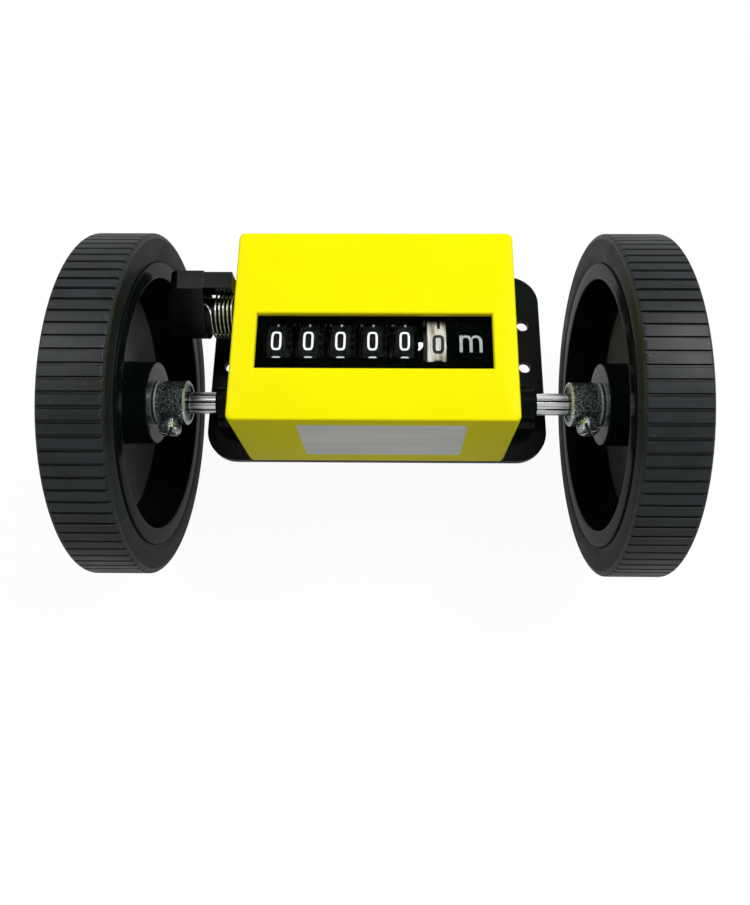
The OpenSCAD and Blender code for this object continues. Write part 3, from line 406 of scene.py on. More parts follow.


# Where a look has edge, its sharp edges get a painted highlight: edgeHighlight, or its light colour.
finishes = {
    "baseBlack": {
        "dark": (0.0022, 0.0052, 0.0034), "light": (0.0036, 0.0078, 0.0054), "rough": (0.18, 0.32),
        "specular": 0.05, "patchScale": 60.0, "grainScale": 1800.0, "bump": 0.04,
        "speck": (0.04, 0.045, 0.042), "speckShare": 0.3, "edge": 0.0003,
        "edgeHighlight": (0.026, 0.032, 0.028), "edgeHighlightShare": 0.6},
    "leverBlack": {
        "dark": (0.001, 0.0022, 0.002), "light": (0.0024, 0.004, 0.0036), "rough": (0.16, 0.26),
        "specular": 0.2, "patchScale": 80.0, "grainScale": 1800.0, "bump": 0.04, "edge": 0.0004,
        "edgeHighlight": (0.04, 0.047, 0.045), "edgeHighlightShare": 0.5},
    "rimBlack": {
        "dark": (0.002, 0.0035, 0.0035), "light": (0.004, 0.006, 0.006), "rough": (0.1, 0.2),
        "specular": 0.03, "patchScale": 60.0, "grainScale": 1800.0, "bump": 0.02,
        "speck": (0.05, 0.055, 0.055), "speckShare": 0.2, "edge": 0.0003,
        "edgeHighlight": (0.04, 0.046, 0.044), "edgeHighlightShare": 0.25},
    # lighter copies of rimBlack for the web and the hub's face, a painted reflection; the web is also rougher
    # satin
    "webSatinPaintedReflection": {
        "dark": (0.07, 0.075, 0.073), "light": (0.09, 0.096, 0.093), "rough": (0.3, 0.4),
        "specular": 0.15, "patchScale": 60.0, "grainScale": 1800.0, "bump": 0.02},
    "hubPaintedReflection": {
        "dark": (0.013, 0.016, 0.015), "light": (0.018, 0.022, 0.02), "rough": (0.12, 0.2),
        "specular": 0.25, "patchScale": 60.0, "grainScale": 1800.0, "bump": 0.02},
    "yellowMoulding": {
        "dark": (0.975, 0.885, 0.0008), "light": (0.99, 0.91, 0.0012), "rough": (0.3, 0.4),
        "specular": 0.035, "patchScale": 40.0, "grainScale": 2500.0, "bump": 0.05, "edge": 0.0006,
        "edgeHighlight": (1.0, 0.97, 0.05), "edgeHighlightShare": 0.5},
    "tyreRubber": {
        "dark": (0.0045, 0.0068, 0.0075), "light": (0.0105, 0.0145, 0.016), "rough": (0.36, 0.5),
        "specular": 0.26, "patchScale": 90.0, "grainScale": 4000.0, "bump": 0.2,
        "speck": (0.05, 0.055, 0.06), "speckShare": 0.5, "paintedShade": (0.0006, 0.0008, 0.001)},
    # a darker copy of tyreRubber for the side walls, a painted shade, with less specular
    "tyreWallPaintedShade": {
        "dark": (0.0035, 0.0055, 0.006), "light": (0.007, 0.01, 0.011), "rough": (0.4, 0.52),
        "specular": 0.08, "patchScale": 90.0, "grainScale": 4000.0, "bump": 0.2,
        "speck": (0.05, 0.055, 0.06), "speckShare": 0.5},
    "zincPlate": {
        "dark": (0.003, 0.01, 0.01), "light": (0.42, 0.52, 0.5), "rough": (0.14, 0.3),
        "metallic": 0.85, "patchScale": 2000.0, "grainScale": 7000.0, "contrast": 0.2, "bump": 0.4,
        "edge": 0.00025, "edgeHighlight": (0.85, 0.9, 0.88), "edgeHighlightShare": 0.85},
    # a lighter and a darker copy of zincPlate for the collars: painted highlight on edges, painted shade on end
    # faces
    "zincPaintedHighlight": {
        "dark": (0.5, 0.56, 0.55), "light": (0.9, 0.95, 0.94), "rough": (0.2, 0.3),
        "metallic": 0.6, "patchScale": 2600.0, "grainScale": 7000.0, "contrast": 0.3, "bump": 0.2},
    "zincPaintedShade": {
        "dark": (0.002, 0.006, 0.006), "light": (0.06, 0.085, 0.08), "rough": (0.2, 0.35),
        "metallic": 0.8, "patchScale": 3400.0, "grainScale": 7000.0, "contrast": 0.26, "bump": 0.3},
    "screwZinc": {
        "dark": (0.012, 0.022, 0.022), "light": (0.7, 0.76, 0.75), "rough": (0.14, 0.28),
        "metallic": 0.85, "patchScale": 2300.0, "grainScale": 5000.0, "contrast": 0.24,
        "bump": 0.45, "edge": 0.0002, "edgeHighlight": (0.9, 0.95, 0.94), "edgeHighlightShare": 0.8},
    "brightSteel": {
        "dark": (0.26, 0.27, 0.26), "light": (0.8, 0.82, 0.8), "rough": (0.12, 0.24),
        "metallic": 1.0, "patchScale": 900.0, "grainScale": 4000.0, "stretch": 0.03,
        "contrast": 0.3, "bump": 0.12, "paintedShade": (0.012, 0.013, 0.012), "edge": 0.00012,
        "edgeHighlight": (0.9, 0.92, 0.9), "edgeHighlightShare": 0.6},
    "gearBrass": {
        "dark": (0.5, 0.36, 0.11), "light": (0.7, 0.53, 0.2), "rough": (0.22, 0.38),
        "metallic": 1.0, "patchScale": 300.0, "bump": 0.1, "edge": 0.0001},
    "maskBlack": {
        "dark": (0.0002, 0.0005, 0.0002), "light": (0.0005, 0.001, 0.0005), "rough": (0.3, 0.45),
        "specular": 0.0, "patchScale": 100.0, "grainScale": 5000.0, "bump": 0.1, "edge": 0.0001},
    "figureBlack": {
        "dark": (0.0016, 0.0024, 0.0016), "light": (0.004, 0.005, 0.004), "rough": (0.3, 0.45),
        "specular": 0.05, "patchScale": 300.0, "grainScale": 4000.0, "stretch": 6.0, "bump": 0.15,
        "edge": 0.0001, "edgeHighlight": (0.016, 0.019, 0.016), "edgeHighlightShare": 0.5},
    "figureIvory": {
        "dark": (0.13, 0.09, 0.045), "light": (0.42, 0.42, 0.385), "rough": (0.35, 0.5),
        "specular": 0.2, "patchScale": 110.0, "grainScale": 4000.0, "stretch": 6.0,
        "contrast": 0.26, "bump": 0.12, "edge": 0.0001},
    "pinionNylon": {
        "dark": (0.7, 0.66, 0.55), "light": (0.8, 0.77, 0.68), "rough": (0.4, 0.55),
        "patchScale": 200.0, "bump": 0.1, "edge": 0.0001},
    "printWhite": {
        "dark": (0.5, 0.51, 0.5), "light": (0.66, 0.67, 0.66), "rough": (0.4, 0.6),
        "specular": 0.2, "patchScale": 1500.0, "grainScale": 6000.0, "contrast": 0.4, "bump": 0.2},
    "printGrey": {
        "dark": (0.17, 0.185, 0.18), "light": (0.25, 0.265, 0.26), "rough": (0.4, 0.6),
        "specular": 0.2, "patchScale": 1200.0, "grainScale": 6000.0, "bump": 0.2},
    "printBlack": {
        "dark": (0.006, 0.006, 0.006), "light": (0.014, 0.014, 0.014), "rough": (0.4, 0.6),
        "specular": 0.1, "patchScale": 800.0, "grainScale": 6000.0, "bump": 0.2},
    "labelSilver": {
        "dark": (0.78, 0.8, 0.74), "light": (0.9, 0.92, 0.86), "rough": (0.3, 0.42),
        "specular": 0.2, "patchScale": 150.0, "grainScale": 6000.0, "stretch": 0.1, "bump": 0.1},
}
finish = {name: makeFinish(name, look) for name, look in finishes.items()}

# Clear plastic, with an index so low that it hardly bends the view of the figures below.
lensLook = {"colour": (0.97, 0.985, 0.99), "index": 1.05, "rough": (0.01, 0.05)}


def clearLens(look):
    # light passes straight through for shadows, so the figures below stay lit
    material = bpy.data.materials.new("clearLens")
    tree = bareNodes(material)
    link = tree.links.new
    surface = addNode(tree, "ShaderNodeGroup", (-700, 0), node_tree=surfaceGroup)
    rough = addNode(tree, "ShaderNodeMapRange", (-400, 0),
                    {"To Min": look["rough"][0], "To Max": look["rough"][1]})
    glass = addNode(tree, "ShaderNodeBsdfPrincipled", (0, 0), {
        "Base Color": (*look["colour"], 1), "Transmission Weight": 1.0, "IOR": look["index"]})
    clear = addNode(tree, "ShaderNodeBsdfTransparent", (0, -400))
    path = addNode(tree, "ShaderNodeLightPath", (0, 400))
    end = addNode(tree, "ShaderNodeOutputMaterial", (500, 0))
    link(surface.outputs["Patches"], rough.inputs["Value"])
    link(rough.outputs["Result"], glass.inputs["Roughness"])
    both = mixShaders(tree, (300, 0), glass.outputs["BSDF"], clear.outputs["BSDF"],
                      path.outputs["Is Shadow Ray"])
    link(both, end.inputs["Surface"])
    return material


finish["clearLens"] = clearLens(lensLook)
print("finishes ready:", len(finish))

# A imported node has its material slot's finish, unless it is named here itself.
finishOfSlot = {"black_moulding": "baseBlack", "yellow_moulding": "yellowMoulding",
                "clear_lens": "clearLens", "black_mask": "maskBlack",
                "black_figure_wheel": "figureBlack", "ivory_figure_wheel": "figureIvory",
                "nylon": "pinionNylon", "tyre_rubber": "tyreRubber", "zinc_plate": "zincPlate",
                "bright_steel": "brightSteel", "brass": "gearBrass"}
finishOfNode = {"reset_lever": "leverBlack", "collar_screws": "screwZinc",
                "cover_screws": "screwZinc", "plate_screws": "screwZinc",
                "lever_screw": "screwZinc"}
for name, node in nodes.items():
    node.data.materials.clear()
    node.data.materials.append(finish[finishOfNode.get(name, finishOfSlot[slotOf[name]])])
    shadeGently(node, shading["gentleOnNodes"])
print("packed nodes dressed")

# Measuring wheels, in millimetres. The wheel set is symmetric about the shaft's middle, so the left
# wheel mirrors the right one. Depths are measured from the rim's inner face. The web is satin and
# carries a painted reflection from the radius paintedReflectionFrom outwards, and the hub's face
# carries one from paintedReflectionTo inwards.
shaftAxis = pivots["shaft_turn"]
rimInner, rimOuter, _ = boxOf("right_wheel_rim")
wheel = {"inner": rimInner, "outer": rimOuter, "radius": boxOf("right_tyre")[2],
         "middle": (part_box("right_wheel_rim")[0].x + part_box("left_wheel_rim")[1].x) / 2 / mm,
         "seat": 44.3, "mouth": 39.4, "floor": 38.3, "webDepth": 14.2, "web": 2.4, "hub": 13.0,
         "hubInset": 2.2, "bore": 3.52, "turns": 256, "paintedReflectionFrom": 13.6, "paintedReflectionTo": 12.7}
tyreShape = {"ribs": 90, "groove": 0.8, "deep": 0.6, "ramp": 0.12, "lips": (-0.05, 0.03),
             "crown": 1.1, "shoulder": 0.75, "shoulderDrop": 1.4, "foot": 0.5, "wall": 2.5,
             "clear": 0.02, "paintedShadeDepth": 1.2, "smoothBelow": 0.9}


def tyreLoops(w, t):
    # a rounded tyre section at each angle. Between the ribs its outside is cut down to the groove's
    # floor, and the step from rib to groove is an S-curve along the arc. The second array is the
    # painted shade of each point, 1 down in the grooves.
    a, b, seat, top = w["inner"], w["outer"], w["seat"] + t["clear"], w["radius"]
    s, foot, wall, ramp = t["shoulder"], t["foot"], t["wall"], t["ramp"]
    low = top - t["shoulderDrop"] * s
    section = roundedProfile([
        [a + foot, seat, 0.2], [a, seat + wall, 0.5], [a, low, 0.5], [a + s, top, 0.35],
        [b - s, top, 0.35], [b, low, 0.5], [b, seat + wall, 0.5], [b - foot, seat, 0.2]], 3)
    x, height = section[None, :, 0], section[None, :, 1]
    pitch, half = 2 * np.pi * top / t["ribs"], t["groove"] / 2
    edge = half + np.array([-ramp, *t["lips"], ramp])   # from the groove's floor up to the rib
    steps = np.concatenate([[-pitch / 2, -t["crown"]], -edge[::-1], [0], edge, [t["crown"]]])
    arc = (np.arange(t["ribs"])[:, None] * pitch + pitch / 2 + steps[None, :]).ravel()
    away = np.abs(np.tile(steps, t["ribs"]))
    rise = np.clip((away - half + ramp) / (2 * ramp), 0, 1)[:, None]
    floor = top - t["deep"] * (1 - rise * rise * (3 - 2 * rise))
    paintedShade = (1 - rise) * (height > top - t["paintedShadeDepth"] * t["deep"])
    return aroundAxis(x, np.minimum(height, floor), (arc / top)[:, None], shaftAxis), paintedShade.ravel()


def rimLoops(w):
    # the rim's section turned round the shaft: hub, dish with sloping wall, web and outer recess
    a, b, bore, hub, mouth, floor = (w[key] for key in ("inner", "outer", "bore", "hub", "mouth",
                                                        "floor"))
    webA, hubA = a + w["webDepth"], a + w["hubInset"]
    webB = webA + w["web"]
    return revolve(roundedProfile([
        [hubA, bore, 0.2], [hubA, hub, 0.5], [webA, hub + 0.3, 0.5], [webA, floor, 0.5],
        [a + 0.2, mouth, 0.25], [a, mouth + 0.3, 0.25], [a, w["seat"], 0.5], [b, w["seat"], 0.5],
        [b, mouth + 1, 0.4], [b - 0.2, mouth + 0.7, 0.3], [webB, floor - 0.4, 1.0],
        [webB, hub + 0.8, 1.0], [b, hub - 0.6, 0.5], [b, bore, 0.2]], 6), shaftAxis, w["turns"])


def onSide(x, side):
    # the left wheel's x turns over about the wheel set's middle
    return 2 * wheel["middle"] - x if side == "left" else x


def onFace(x, face, side, near=0.06):
    # whether x lies on a flat face of the right wheel or of its mirror image
    return abs(onSide(x, side) - face) < near


def wheelSkin(loops, side):
    # the loops of the right wheel, mirrored for the left one
    return skin(np.dstack([onSide(loops[..., :1], side), loops[..., 1:]]), ring=True)


tyrePoints, tyrePaintedShade = tyreLoops(wheel, tyreShape)
rimPoints = rimLoops(wheel)
webFace, hubFace = wheel["inner"] + wheel["webDepth"], wheel["inner"] + wheel["hubInset"]
wallTop = wheel["radius"] - 2 * tyreShape["shoulder"]
for side in ("right", "left"):
    tyre = makePiece(side + "TyreRibbed", [wheelSkin(tyrePoints, side)], "tyreRubber", "shaft",
                     tyreShape["smoothBelow"])
    markPoints(tyre, tyrePaintedShade)
    # the side walls below wallTop take the darker copy of the rubber, a painted shade
    paintBands(tyre, [("tyreWallPaintedShade", lambda x, r: r < wallTop)])
    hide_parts(side + "_tyre")
    rim = makePiece(side + "RimDished", [wheelSkin(rimPoints, side)], "rimBlack", "shaft")
    # the web and the hub's face take the lighter copies of the black, a painted reflection
    paintBands(rim, [
        ("webSatinPaintedReflection", lambda x, r: onFace(x, webFace, side) & (r > wheel["paintedReflectionFrom"])),
        ("hubPaintedReflection", lambda x, r: onFace(x, hubFace, side) & (r < wheel["paintedReflectionTo"]))])
    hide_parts(side + "_wheel_rim")
print("measuring wheels made")

# The shaft's two fluted ends are turned a little against each other, in degrees, and run out in a
# plain part under the cover. Half a groove is given by offsets from its middle, in half widths, and
# by the share of the depth at each. Collars have chamfered corners and a raised rim.
fluted = {"flutes": 8, "width": 0.62, "deep": 0.5, "leftTurn": 104.7, "rightTurn": 92.7,
          "smooth": 30.0, "runOut": 3, "chamfer": 0.5, "between": 3, "paintedShade": 2.4,
          "smoothBelow": 0.5,
          "across": (0.08, 0.4, 0.8, 1.15, 1.7, 2.4), "depth": (1, 0.68, 0.2, 0.03, 0, 0)}
collarShape = {"edge": 0.45, "rim": 1.1, "slope": 0.7, "dish": 0.5, "band": 0.4, "clear": 0.03,
               "turns": 96, "slack": 0.05, "smoothBelow": 0.35}
shaftLow, shaftHigh, shaftRadius = boxOf("drive_shaft")


def flutedShaft(f):
    # a round bar whose section has narrow V grooves with rounded lips at even angles. The same
    # section stands at each station along X, with its own turn, chamfer and share of the depth.
    half, lip = f["width"] / 2, np.array(f["across"])
    across, reach = np.concatenate([-lip[::-1], lip]) * half, lip[-1] * half / shaftRadius
    depth = f["deep"] * np.array(f["depth"][::-1] + f["depth"])
    every = 2 * np.pi / f["flutes"]
    plain = np.linspace(reach, every - reach, f["between"] + 2)[1:-1]
    angle = np.arange(f["flutes"])[:, None] * every + np.concatenate([across / shaftRadius, plain])
    sunk = np.tile(np.concatenate([depth, np.zeros(f["between"])]), f["flutes"])
    cut, left, right, plainEnd = f["chamfer"], f["leftTurn"], f["rightTurn"], f["smooth"]
    grooveEnd = plainEnd + f["runOut"]
    stations = np.array([
        [shaftLow, left, cut, 1], [shaftLow + cut, left, 0, 1], [-grooveEnd, left, 0, 1],
        [-plainEnd, left, 0, 0], [plainEnd, right, 0, 0], [grooveEnd, right, 0, 1],
        [shaftHigh - cut, right, 0, 1], [shaftHigh, right, cut, 1]])
    x, turn, chamfer, share = stations.T[:, :, None]
    loops = aroundAxis(x, shaftRadius - np.maximum(sunk * share, chamfer),
                       angle.ravel() + np.radians(turn), shaftAxis)
    shaft = makePiece("shaftFluted", [skin(loops)], "brightSteel", "shaft",
                      f["smoothBelow"])
    # a painted shade in the flutes, darker where they are deeper
    markPoints(shaft, np.clip(f["paintedShade"] * sunk * share / f["deep"], 0, 1).ravel())
    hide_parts("drive_shaft")


def turnedCollar(side, c):
    # the collar's section turned round the shaft: from the raised rim a slope leads down to a flat
    # face round the bore. The chamfers, the rim and a band at the hub are painted bright, a painted
    # highlight, and the slope and face inside the rim darker, a painted shade.
    a, b, r = boxOf(side + "_collar")
    e, lip, dish, bore = c["edge"], r - c["rim"], c["dish"], shaftRadius + c["clear"]
    near, far, slack = a + e + c["band"], b - e - c["band"], c["slack"]
    section = roundedProfile([
        [a + dish, bore, 0.05], [a + dish, lip - c["slope"], 0.3], [a, lip, 0.1], [a, r - e, 0.1],
        [a + e, r, 0.1], [near, r, 0.02], [far, r, 0.02], [b - e, r, 0.1], [b, r - e, 0.1],
        [b, lip, 0.1], [b - dish, lip - c["slope"], 0.3], [b - dish, bore, 0.05]], 2)
    paintedHighlightBand = (lambda x: x < near) if side == "left" else (lambda x: x > far)
    collar = makePiece(side + "CollarTurned", [skin(revolve(section, shaftAxis, c["turns"]), True)],
                       "zincPlate", "shaft", c["smoothBelow"])
    paintBands(collar, [
        ("zincPaintedHighlight", lambda x, s: (s > lip - slack)
                                  & ((x < a + e + slack) | (x > b - e - slack) | paintedHighlightBand(x))),
        ("zincPaintedShade", lambda x, s: s < lip - slack)])
    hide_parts(side + "_collar")


flutedShaft(fluted)
for side in ("left", "right"):
    turnedCollar(side, collarShape)
print("shaft and collars made")

# Figures on the number wheels, in millimetres: first is the middle of wheel 1 along X. The tenths
# wheel has bolder and wider figures, a little to the right and turned on, in radians.
figure = {"width": 2.95, "height": 5.75, "line": 0.58, "raised": 0.04, "sunk": 0.03,
          "first": -28.1, "apart": 9.2, "shift": 0.0, "turned": 0.0, "paint": "printWhite",
          "slot": "black_figure_wheel"}
tenthsFigure = {**figure, "width": 3.4, "line": 0.95, "shift": 0.4, "turned": 0.08,
                "paint": "printBlack", "slot": "ivory_figure_wheel"}
numberAxis = pivots["tenths_turn"]
faceRadius = boxOf("number_wheel_1")[2]

# Middle lines of the figures in a box from -1 to 1 both ways. A point that is given twice or three
# times makes its corner sharper.
figureLines = {
    0: [(0, 1), (0.62, 1), (1, 0.72), (1, 0), (1, -0.72), (0.62, -1), (0, -1), (-0.62, -1),
        (-1, -0.72), (-1, 0), (-1, 0.72), (-0.62, 1)],
    1: [(-0.45, 0.62), (-0.45, 0.62), (0.15, 1), (0.15, 1), (0.15, -1), (0.15, -1)],
    2: [(-1, 0.5), (-0.95, 1), (0, 1), (0.95, 1), (1, 0.3), (0.5, -0.1), (-1, -1), (-1, -1),
        (-1, -1), (1, -1), (1, -1)],
    3: [(-1, 0.6), (-0.8, 1), (0, 1), (0.95, 1), (0.95, 0.1), (0.1, 0.08), (0.1, 0.08), (1, 0.1),
        (1, -1), (0, -1), (-0.85, -1), (-1, -0.55)],
    4: [(0.4, -1), (0.4, -1), (0.4, 1), (0.4, 1), (0.4, 1), (-1, -0.45), (-1, -0.45), (-1, -0.45),
        (1, -0.45), (1, -0.45)],
    5: [(0.9, 1), (0.9, 1), (-0.8, 1), (-0.8, 1), (-0.8, 1), (-0.9, 0.1), (-0.9, 0.1), (0, 0.35),
        (1, 0.2), (1, -1), (0, -1), (-0.85, -1), (-1, -0.6)],
    6: [(0.85, 0.75), (0.5, 1.05), (-0.6, 1), (-1, 0.6), (-1, 0), (-1, -0.5), (-0.9, -1), (0, -1),
        (1, -1), (1, 0.15), (0, 0.15), (-0.9, 0.1), (-0.98, -0.3)],
    7: [(-1, 1), (-1, 1), (1, 1), (1, 1), (1, 1), (-0.1, 0), (-0.3, -1), (-0.3, -1)],
    8: [(0, 0.08), (-0.85, 0.15), (-0.9, 1), (0, 1), (0.9, 1), (0.85, 0.15), (0, 0.08), (-1, 0),
        (-1, -1), (0, -1), (1, -1), (1, 0)],
    9: [(-0.85, -0.75), (-0.5, -1.05), (0.6, -1), (1, -0.6), (1, 0), (1, 0.5), (0.9, 1), (0, 1),
        (-1, 1), (-1, -0.15), (0, -0.15), (0.9, -0.1), (0.98, 0.3)],
}
closedFigures = (0, 8)


def smoothLine(points, closed, passes=3, apart=1e-4):
    # corner cutting: each pass keeps the points a quarter and three quarters along every stretch
    line = np.asarray(points, float)
    for _ in range(passes):
        ahead = np.roll(line, -1, 0) if closed else line[1:]
        here = line if closed else line[:-1]
        cut = np.stack([0.75 * here + 0.25 * ahead, 0.25 * here + 0.75 * ahead], 1).reshape(-1, 2)
        line = cut if closed else np.vstack([line[:1], cut, line[-1:]])
    return line[np.linalg.norm(line - np.roll(line, 1, 0), axis=1) > apart]


def strokeLoops(line, closed, width, low, high):
    # a flat bar along the line: four corners at each point, half a width to either side of it. One
    # width is for all points or there is one for each.
    along = np.roll(line, -1, 0) - np.roll(line, 1, 0) if closed else np.gradient(line, axis=0)
    along /= np.linalg.norm(along, axis=1)[:, None]
    side = np.stack([-along[:, 1], along[:, 0]], 1) * (np.asarray(width) / 2).reshape(-1, 1)
    corners = [(line - side, low), (line + side, low), (line + side, high), (line - side, high)]
    return np.stack([np.column_stack([p, np.full(len(p), h)]) for p, h in corners], 1)


def onWheel(loops, x, angle):
    # u runs along X, v round the face towards the back, h out of the face
    u, v, h = np.moveaxis(loops, -1, 0)
    return aroundAxis(x + u, faceRadius + h, angle - v / faceRadius, numberAxis)


def figuresOn(k, f):
    # ten bars bent round number wheel k, a tenth of a turn apart, with the nought on top
    size = np.array([f["width"] - f["line"], f["height"] - f["line"]]) / 2
    x = f["first"] + f["apart"] * (k - 1) + f["shift"]
    skins = []
    for value, points in figureLines.items():
        closed = value in closedFigures
        loops = strokeLoops(smoothLine(points, closed) * size, closed, f["line"], -f["sunk"],
                            f["raised"])
        angle = np.pi / 2 + f["turned"] - value * 2 * np.pi / 10
        skins.append(skin(onWheel(loops, x, angle), closed))
    makePiece(f"figures{k}", skins, f["paint"], bodyOf[f"number_wheel_{k}"])


for k in range(1, 6):
    figuresOn(k, figure)
figuresOn(6, tenthsFigure)
print("figures made")

# Printing on the mask, in millimetres. The arches of the letter spring from the stem at an angle in
# degrees. Each bar of it lies a layer above the one before, so none shares its top with another.
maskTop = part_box("number_mask")[1].z / mm
printing = {"sunk": 0.02, "raised": 0.03, "layer": 0.004}
letter = {"x": 24.35, "y": -18.05, "width": 6.5, "height": 5.3, "line": 0.85, "rise": 1.75,
          "springs": 25, "steps": 16, "thin": 0.55}
comma = {"x": 13.1, "y": -15.9, "size": 1.3}


def printedSkin(line, width, place, layer=0):
    # a bar along the line, from just under the mask's top face to just above it
    high = printing["raised"] + printing["layer"] * layer
    loops = strokeLoops(line, False, width, -printing["sunk"], high)
    return skin(loops + np.array([place["x"], place["y"], maskTop]))


def letterM(m):
    # a stem and two round arches that spring from it: half an ellipse, then a straight leg. An arch
    # is thin where it springs and as wide as the stem once it is over the top.
    t, h = m["line"], m["height"] - m["line"] / 2
    span, rise = (m["width"] - t) / 2, m["rise"]
    turn = np.radians(np.linspace(m["springs"], 180, m["steps"]))
    bend = np.stack([span / 2 * (1 - np.cos(turn)), h - rise + rise * np.sin(turn)], 1)
    arch = np.vstack([bend, [[span, 0.5 * (h - rise)], [span, 0]]])
    swell = np.interp(np.arange(len(arch)), [0, 6, 12], [m["thin"] * t, 0.8 * t, t])
    bars = [(np.array([[0, 0], [0, 0.5 * h], [0, h + 0.3 * t]]), t), (arch, swell),
            (arch + [span, 0], swell)]
    skins = [printedSkin(line + np.array([t / 2, 0]), width, m, layer)
             for layer, (line, width) in enumerate(bars)]
    makePiece("letterM", skins, "printGrey", "case")


def decimalComma(c):
    # a round head whose tail narrows as it curls to the left
    line = smoothLine([(0.1, 0.62), (0.1, 0.62), (0.12, 0.1), (0.12, -0.4), (-0.05, -0.85),
                       (-0.45, -1.25), (-0.45, -1.25)], False) * c["size"]
    share = np.linspace(0, 1, len(line))
    width = c["size"] * np.interp(share, [0, 0.12, 0.3, 0.55, 1], [0.5, 1.0, 1.05, 0.8, 0.12])
    makePiece("decimalComma", [printedSkin(line, width, c)], "printWhite", "case")


letterM(letter)
decimalComma(comma)
print("printing made")

# Blank label on the front, in millimetres. The cover's front passes through frontTop, (y, z), and
# comes forward by the first of lean over a drop by the second.
label = {"left": -21.5, "right": 26.2, "low": 10.4, "high": 39.7, "round": 1.6, "thick": 0.12,
         "sunk": 0.05, "side": 0.7, "inset": 0.06, "frontTop": (-39.5, 43.0), "lean": (0.5, 40.2)}


def blankLabel(p):
    # rings of a rounded rectangle on the sloping front. The last ring is pulled in a little, so the
    # edge is soft.
    wide, high, soft = p["right"] - p["left"], p["high"] - p["low"], p["round"]
    corner = roundedProfile([[0, 0, soft], [wide, 0, soft], [wide, high, soft], [0, high, soft]], 8)
    centre = corner.mean(0)
    rings = []
    for out, inset in ((-p["sunk"], 0), (p["thick"] * p["side"], 0), (p["thick"], p["inset"])):
        c = centre + (corner - centre) * (1 - 2 * inset / np.array([wide, high]))
        z = p["low"] + c[:, 1]
        front = p["frontTop"][0] - p["lean"][0] * (p["frontTop"][1] - z) / p["lean"][1]
        rings.append(np.stack([p["left"] + c[:, 0], front - out, z], -1))
    makePiece("blankLabel", [skin(rings)], "labelSilver", "case")


blankLabel(label)
print("label made")

# Return spring, in millimetres and degrees, with its two straight legs. It winds up between the leg
# in the lever and the leg in the cover's side, which stays still.
spring = {"radius": 7.0, "wire": 0.7, "start": -51.3, "pitch": 1.25, "turns": 6.4583, "from": 82.0,
          "legStart": -54.6, "legEnd": -39.5, "bend": 0.9, "rounding": 2, "reach": 3,
          "perTurn": 28, "sides": 12, "smoothBelow": 1.2}


def springLoops(s):
    # a tube along a helix about the reset shaft: x grows evenly with the angle. Each end turns into
    # a straight leg along X, and averaging with the neighbours rounds the two bends.
    t = np.linspace(0, 1, int(s["perTurn"] * s["turns"]))
    angle = np.radians(s["from"] + 360 * s["turns"] * t)
    coil = np.stack([s["start"] + s["pitch"] * s["turns"] * t, s["radius"] * np.cos(angle),
                     s["radius"] * np.sin(angle)], -1)
    bend = s["bend"]
    legA = [s["legStart"] - s["start"], -2.4 * bend, -bend]   # along X from the coil's two ends
    legB = [bend, 2 * bend, s["legEnd"] - coil[-1][0]]
    path = np.vstack([coil[0] + np.outer(legA, [1, 0, 0]), coil[2:-2],
                      coil[-1] + np.outer(legB, [1, 0, 0])])
    place = np.arange(1, len(path) - 1)[:, None]
    near = np.abs(place - [2, len(path) - 3]).min(1, keepdims=True) < s["reach"]
    for _ in range(s["rounding"]):
        inner = (path[:-2] + 2 * path[1:-1] + path[2:]) / 4
        path[1:-1] = np.where(near, inner, path[1:-1])
    along = np.gradient(path, axis=0)
    along /= np.linalg.norm(along, axis=1)[:, None]
    out = path * np.array([0, 1, 1])
    out /= np.linalg.norm(out, axis=1)[:, None]
    out -= (out * along).sum(1)[:, None] * along
    out /= np.linalg.norm(out, axis=1)[:, None]
    side = np.cross(along, out)
    turn = np.linspace(0, 2 * np.pi, s["sides"], endpoint=False)[None, :, None]
    around = np.cos(turn) * out[:, None] + np.sin(turn) * side[:, None]
    return (path[:, None] + s["wire"] / 2 * around
            + np.array([0, pivots["reset_swing"][1] / mm, pivots["reset_swing"][2] / mm]))


coil = makePiece("returnSpring", [skin(springLoops(spring))], "brightSteel", None,
                 spring["smoothBelow"])
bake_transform(coil)
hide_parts("reset_spring")
print("spring made")

# Floor, world and lamps, in metres and watts. The camera sees the share seen of the floor's glow,
# so the shadows show only in the rest, and mirrors see the share mirrored. A glance off a mirror
# meets the white room at and below the height horizon and the grey one from overhead up.
white = (1, 1, 1, 1)
studio = {"floor": (0.5, 0.5, 0.5), "floorSize": 6, "drop": 0.0005, "glow": 1.09, "seen": 0.87,
          "mirrored": 0.35, "sky": (0.97, 0.98, 1.0), "world": 0.3, "horizon": 0.25,
          "overhead": 0.85, "grey": 0.8}
lamps = {"keyLamp": {"place": (0.42, 0.18, 0.66), "aim": (0, 0, 0.02), "size": 0.35,
                     "power": 4.0},
         "sideLamp": {"place": (-0.42, 0.18, 0.66), "aim": (0, 0, 0.02), "size": 0.35,
                      "power": 1.9}}


def addValues(tree, spot, first, second, clamped=False):
    node = addNode(tree, "ShaderNodeMath", spot, operation="ADD", use_clamp=clamped)
    tree.links.new(first, node.inputs[0])
    tree.links.new(second, node.inputs[1])
    return node.outputs["Value"]


def rayKinds(tree):
    # 1 for rays that the camera sees, straight or through the lens, and 1 for those off a mirror
    path = addNode(tree, "ShaderNodeLightPath", (-600, 300))
    seen = addValues(tree, (-400, 300), path.outputs["Is Camera Ray"],
                     path.outputs["Is Transmission Ray"])
    return seen, path.outputs["Is Glossy Ray"]


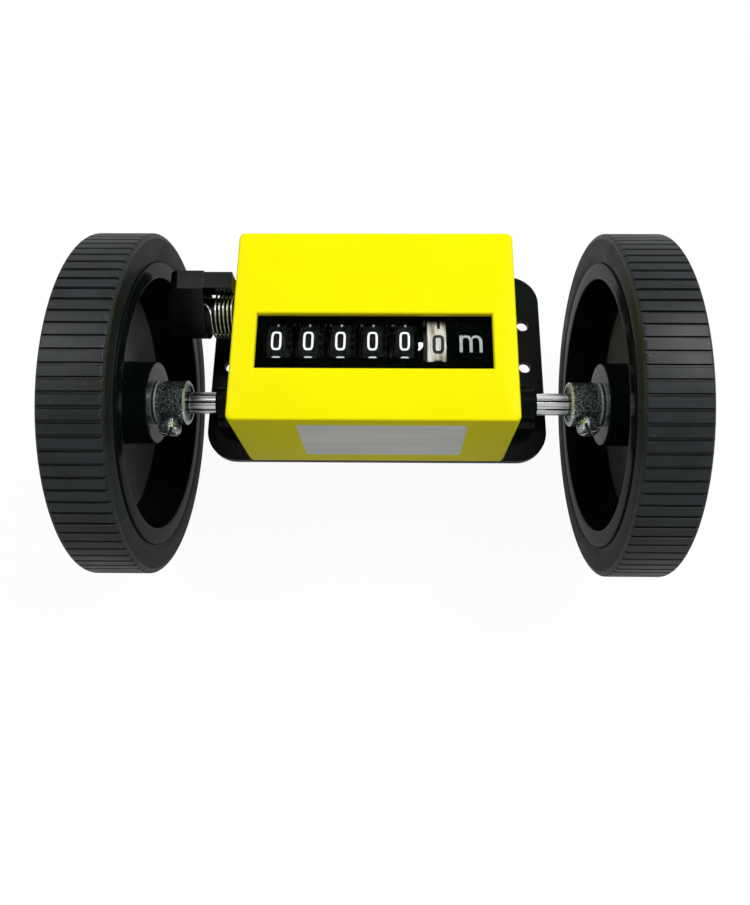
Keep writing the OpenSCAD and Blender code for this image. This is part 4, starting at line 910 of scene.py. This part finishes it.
def paleFloor():
    # the camera sees the floor almost white, with the object's shadow in the part that is lit
    bpy.ops.mesh.primitive_plane_add(size=studio["floorSize"],
                                     location=(0, 0, cadLow.z - studio["drop"]))
    floor = bpy.context.object
    floor.name = "paleFloor"
    material = bpy.data.materials.new("paleFloor")
    tree = bareNodes(material)
    base = addNode(tree, "ShaderNodeBsdfDiffuse", (0, 0), {"Color": (*studio["floor"], 1)})
    glow = addNode(tree, "ShaderNodeEmission", (0, -200),
                   {"Color": white, "Strength": studio["glow"]})
    seen, glossy = rayKinds(tree)
    share = addValues(tree, (0, 300), timesValue(tree, (-200, 300), seen, studio["seen"]),
                      timesValue(tree, (-200, 100), glossy, studio["mirrored"]), True)
    end = addNode(tree, "ShaderNodeOutputMaterial", (400, 0))
    both = mixShaders(tree, (200, 0), base.outputs["BSDF"], glow.outputs["Emission"], share)
    tree.links.new(both, end.inputs["Surface"])
    floor.data.materials.append(material)


def studioWorld():
    # soft light all round; in mirrors the room is white at the horizon and greyer overhead
    world = bpy.data.worlds.new("studio")
    bpy.context.scene.world = world
    tree = bareNodes(world)
    link = tree.links.new
    soft = addNode(tree, "ShaderNodeBackground", (0, 0),
                   {"Color": (*studio["sky"], 1), "Strength": studio["world"]})
    plain = addNode(tree, "ShaderNodeBackground", (0, -200), {"Color": white, "Strength": 1.0})
    room = addNode(tree, "ShaderNodeBackground", (0, -400), {"Color": white})
    place = addNode(tree, "ShaderNodeTexCoord", (-800, -400))
    split = addNode(tree, "ShaderNodeSeparateXYZ", (-600, -400))
    height = addNode(tree, "ShaderNodeMapRange", (-300, -400), {
        "From Min": studio["horizon"], "From Max": studio["overhead"], "To Min": 1.0,
        "To Max": studio["grey"]})
    link(place.outputs["Generated"], split.inputs["Vector"])
    link(split.outputs["Z"], height.inputs["Value"])
    link(height.outputs["Result"], room.inputs["Strength"])
    seen, glossy = rayKinds(tree)
    direct = mixShaders(tree, (200, 0), soft.outputs["Background"],
                        plain.outputs["Background"], seen)
    both = mixShaders(tree, (400, 0), direct, room.outputs["Background"], glossy)
    end = addNode(tree, "ShaderNodeOutputWorld", (600, 0))
    link(both, end.inputs["Surface"])


def softLamp(name, look):
    # a square area lamp that faces its aim
    lamp = bpy.data.lights.new(name, "AREA")
    lamp.shape = "RECTANGLE"
    lamp.size = lamp.size_y = look["size"]
    lamp.energy = look["power"]
    holder = bpy.data.objects.new(name, lamp)
    bpy.context.scene.collection.objects.link(holder)
    away = Vector(look["place"]) - Vector(look["aim"])
    turn = away.to_track_quat("Z", "Y").to_matrix().to_4x4()
    holder.matrix_world = Matrix.Translation(look["place"]) @ turn


paleFloor()
studioWorld()
for name, look in lamps.items():
    softLamp(name, look)
bpy.context.scene.view_settings.view_transform = "Standard"
print("studio ready")
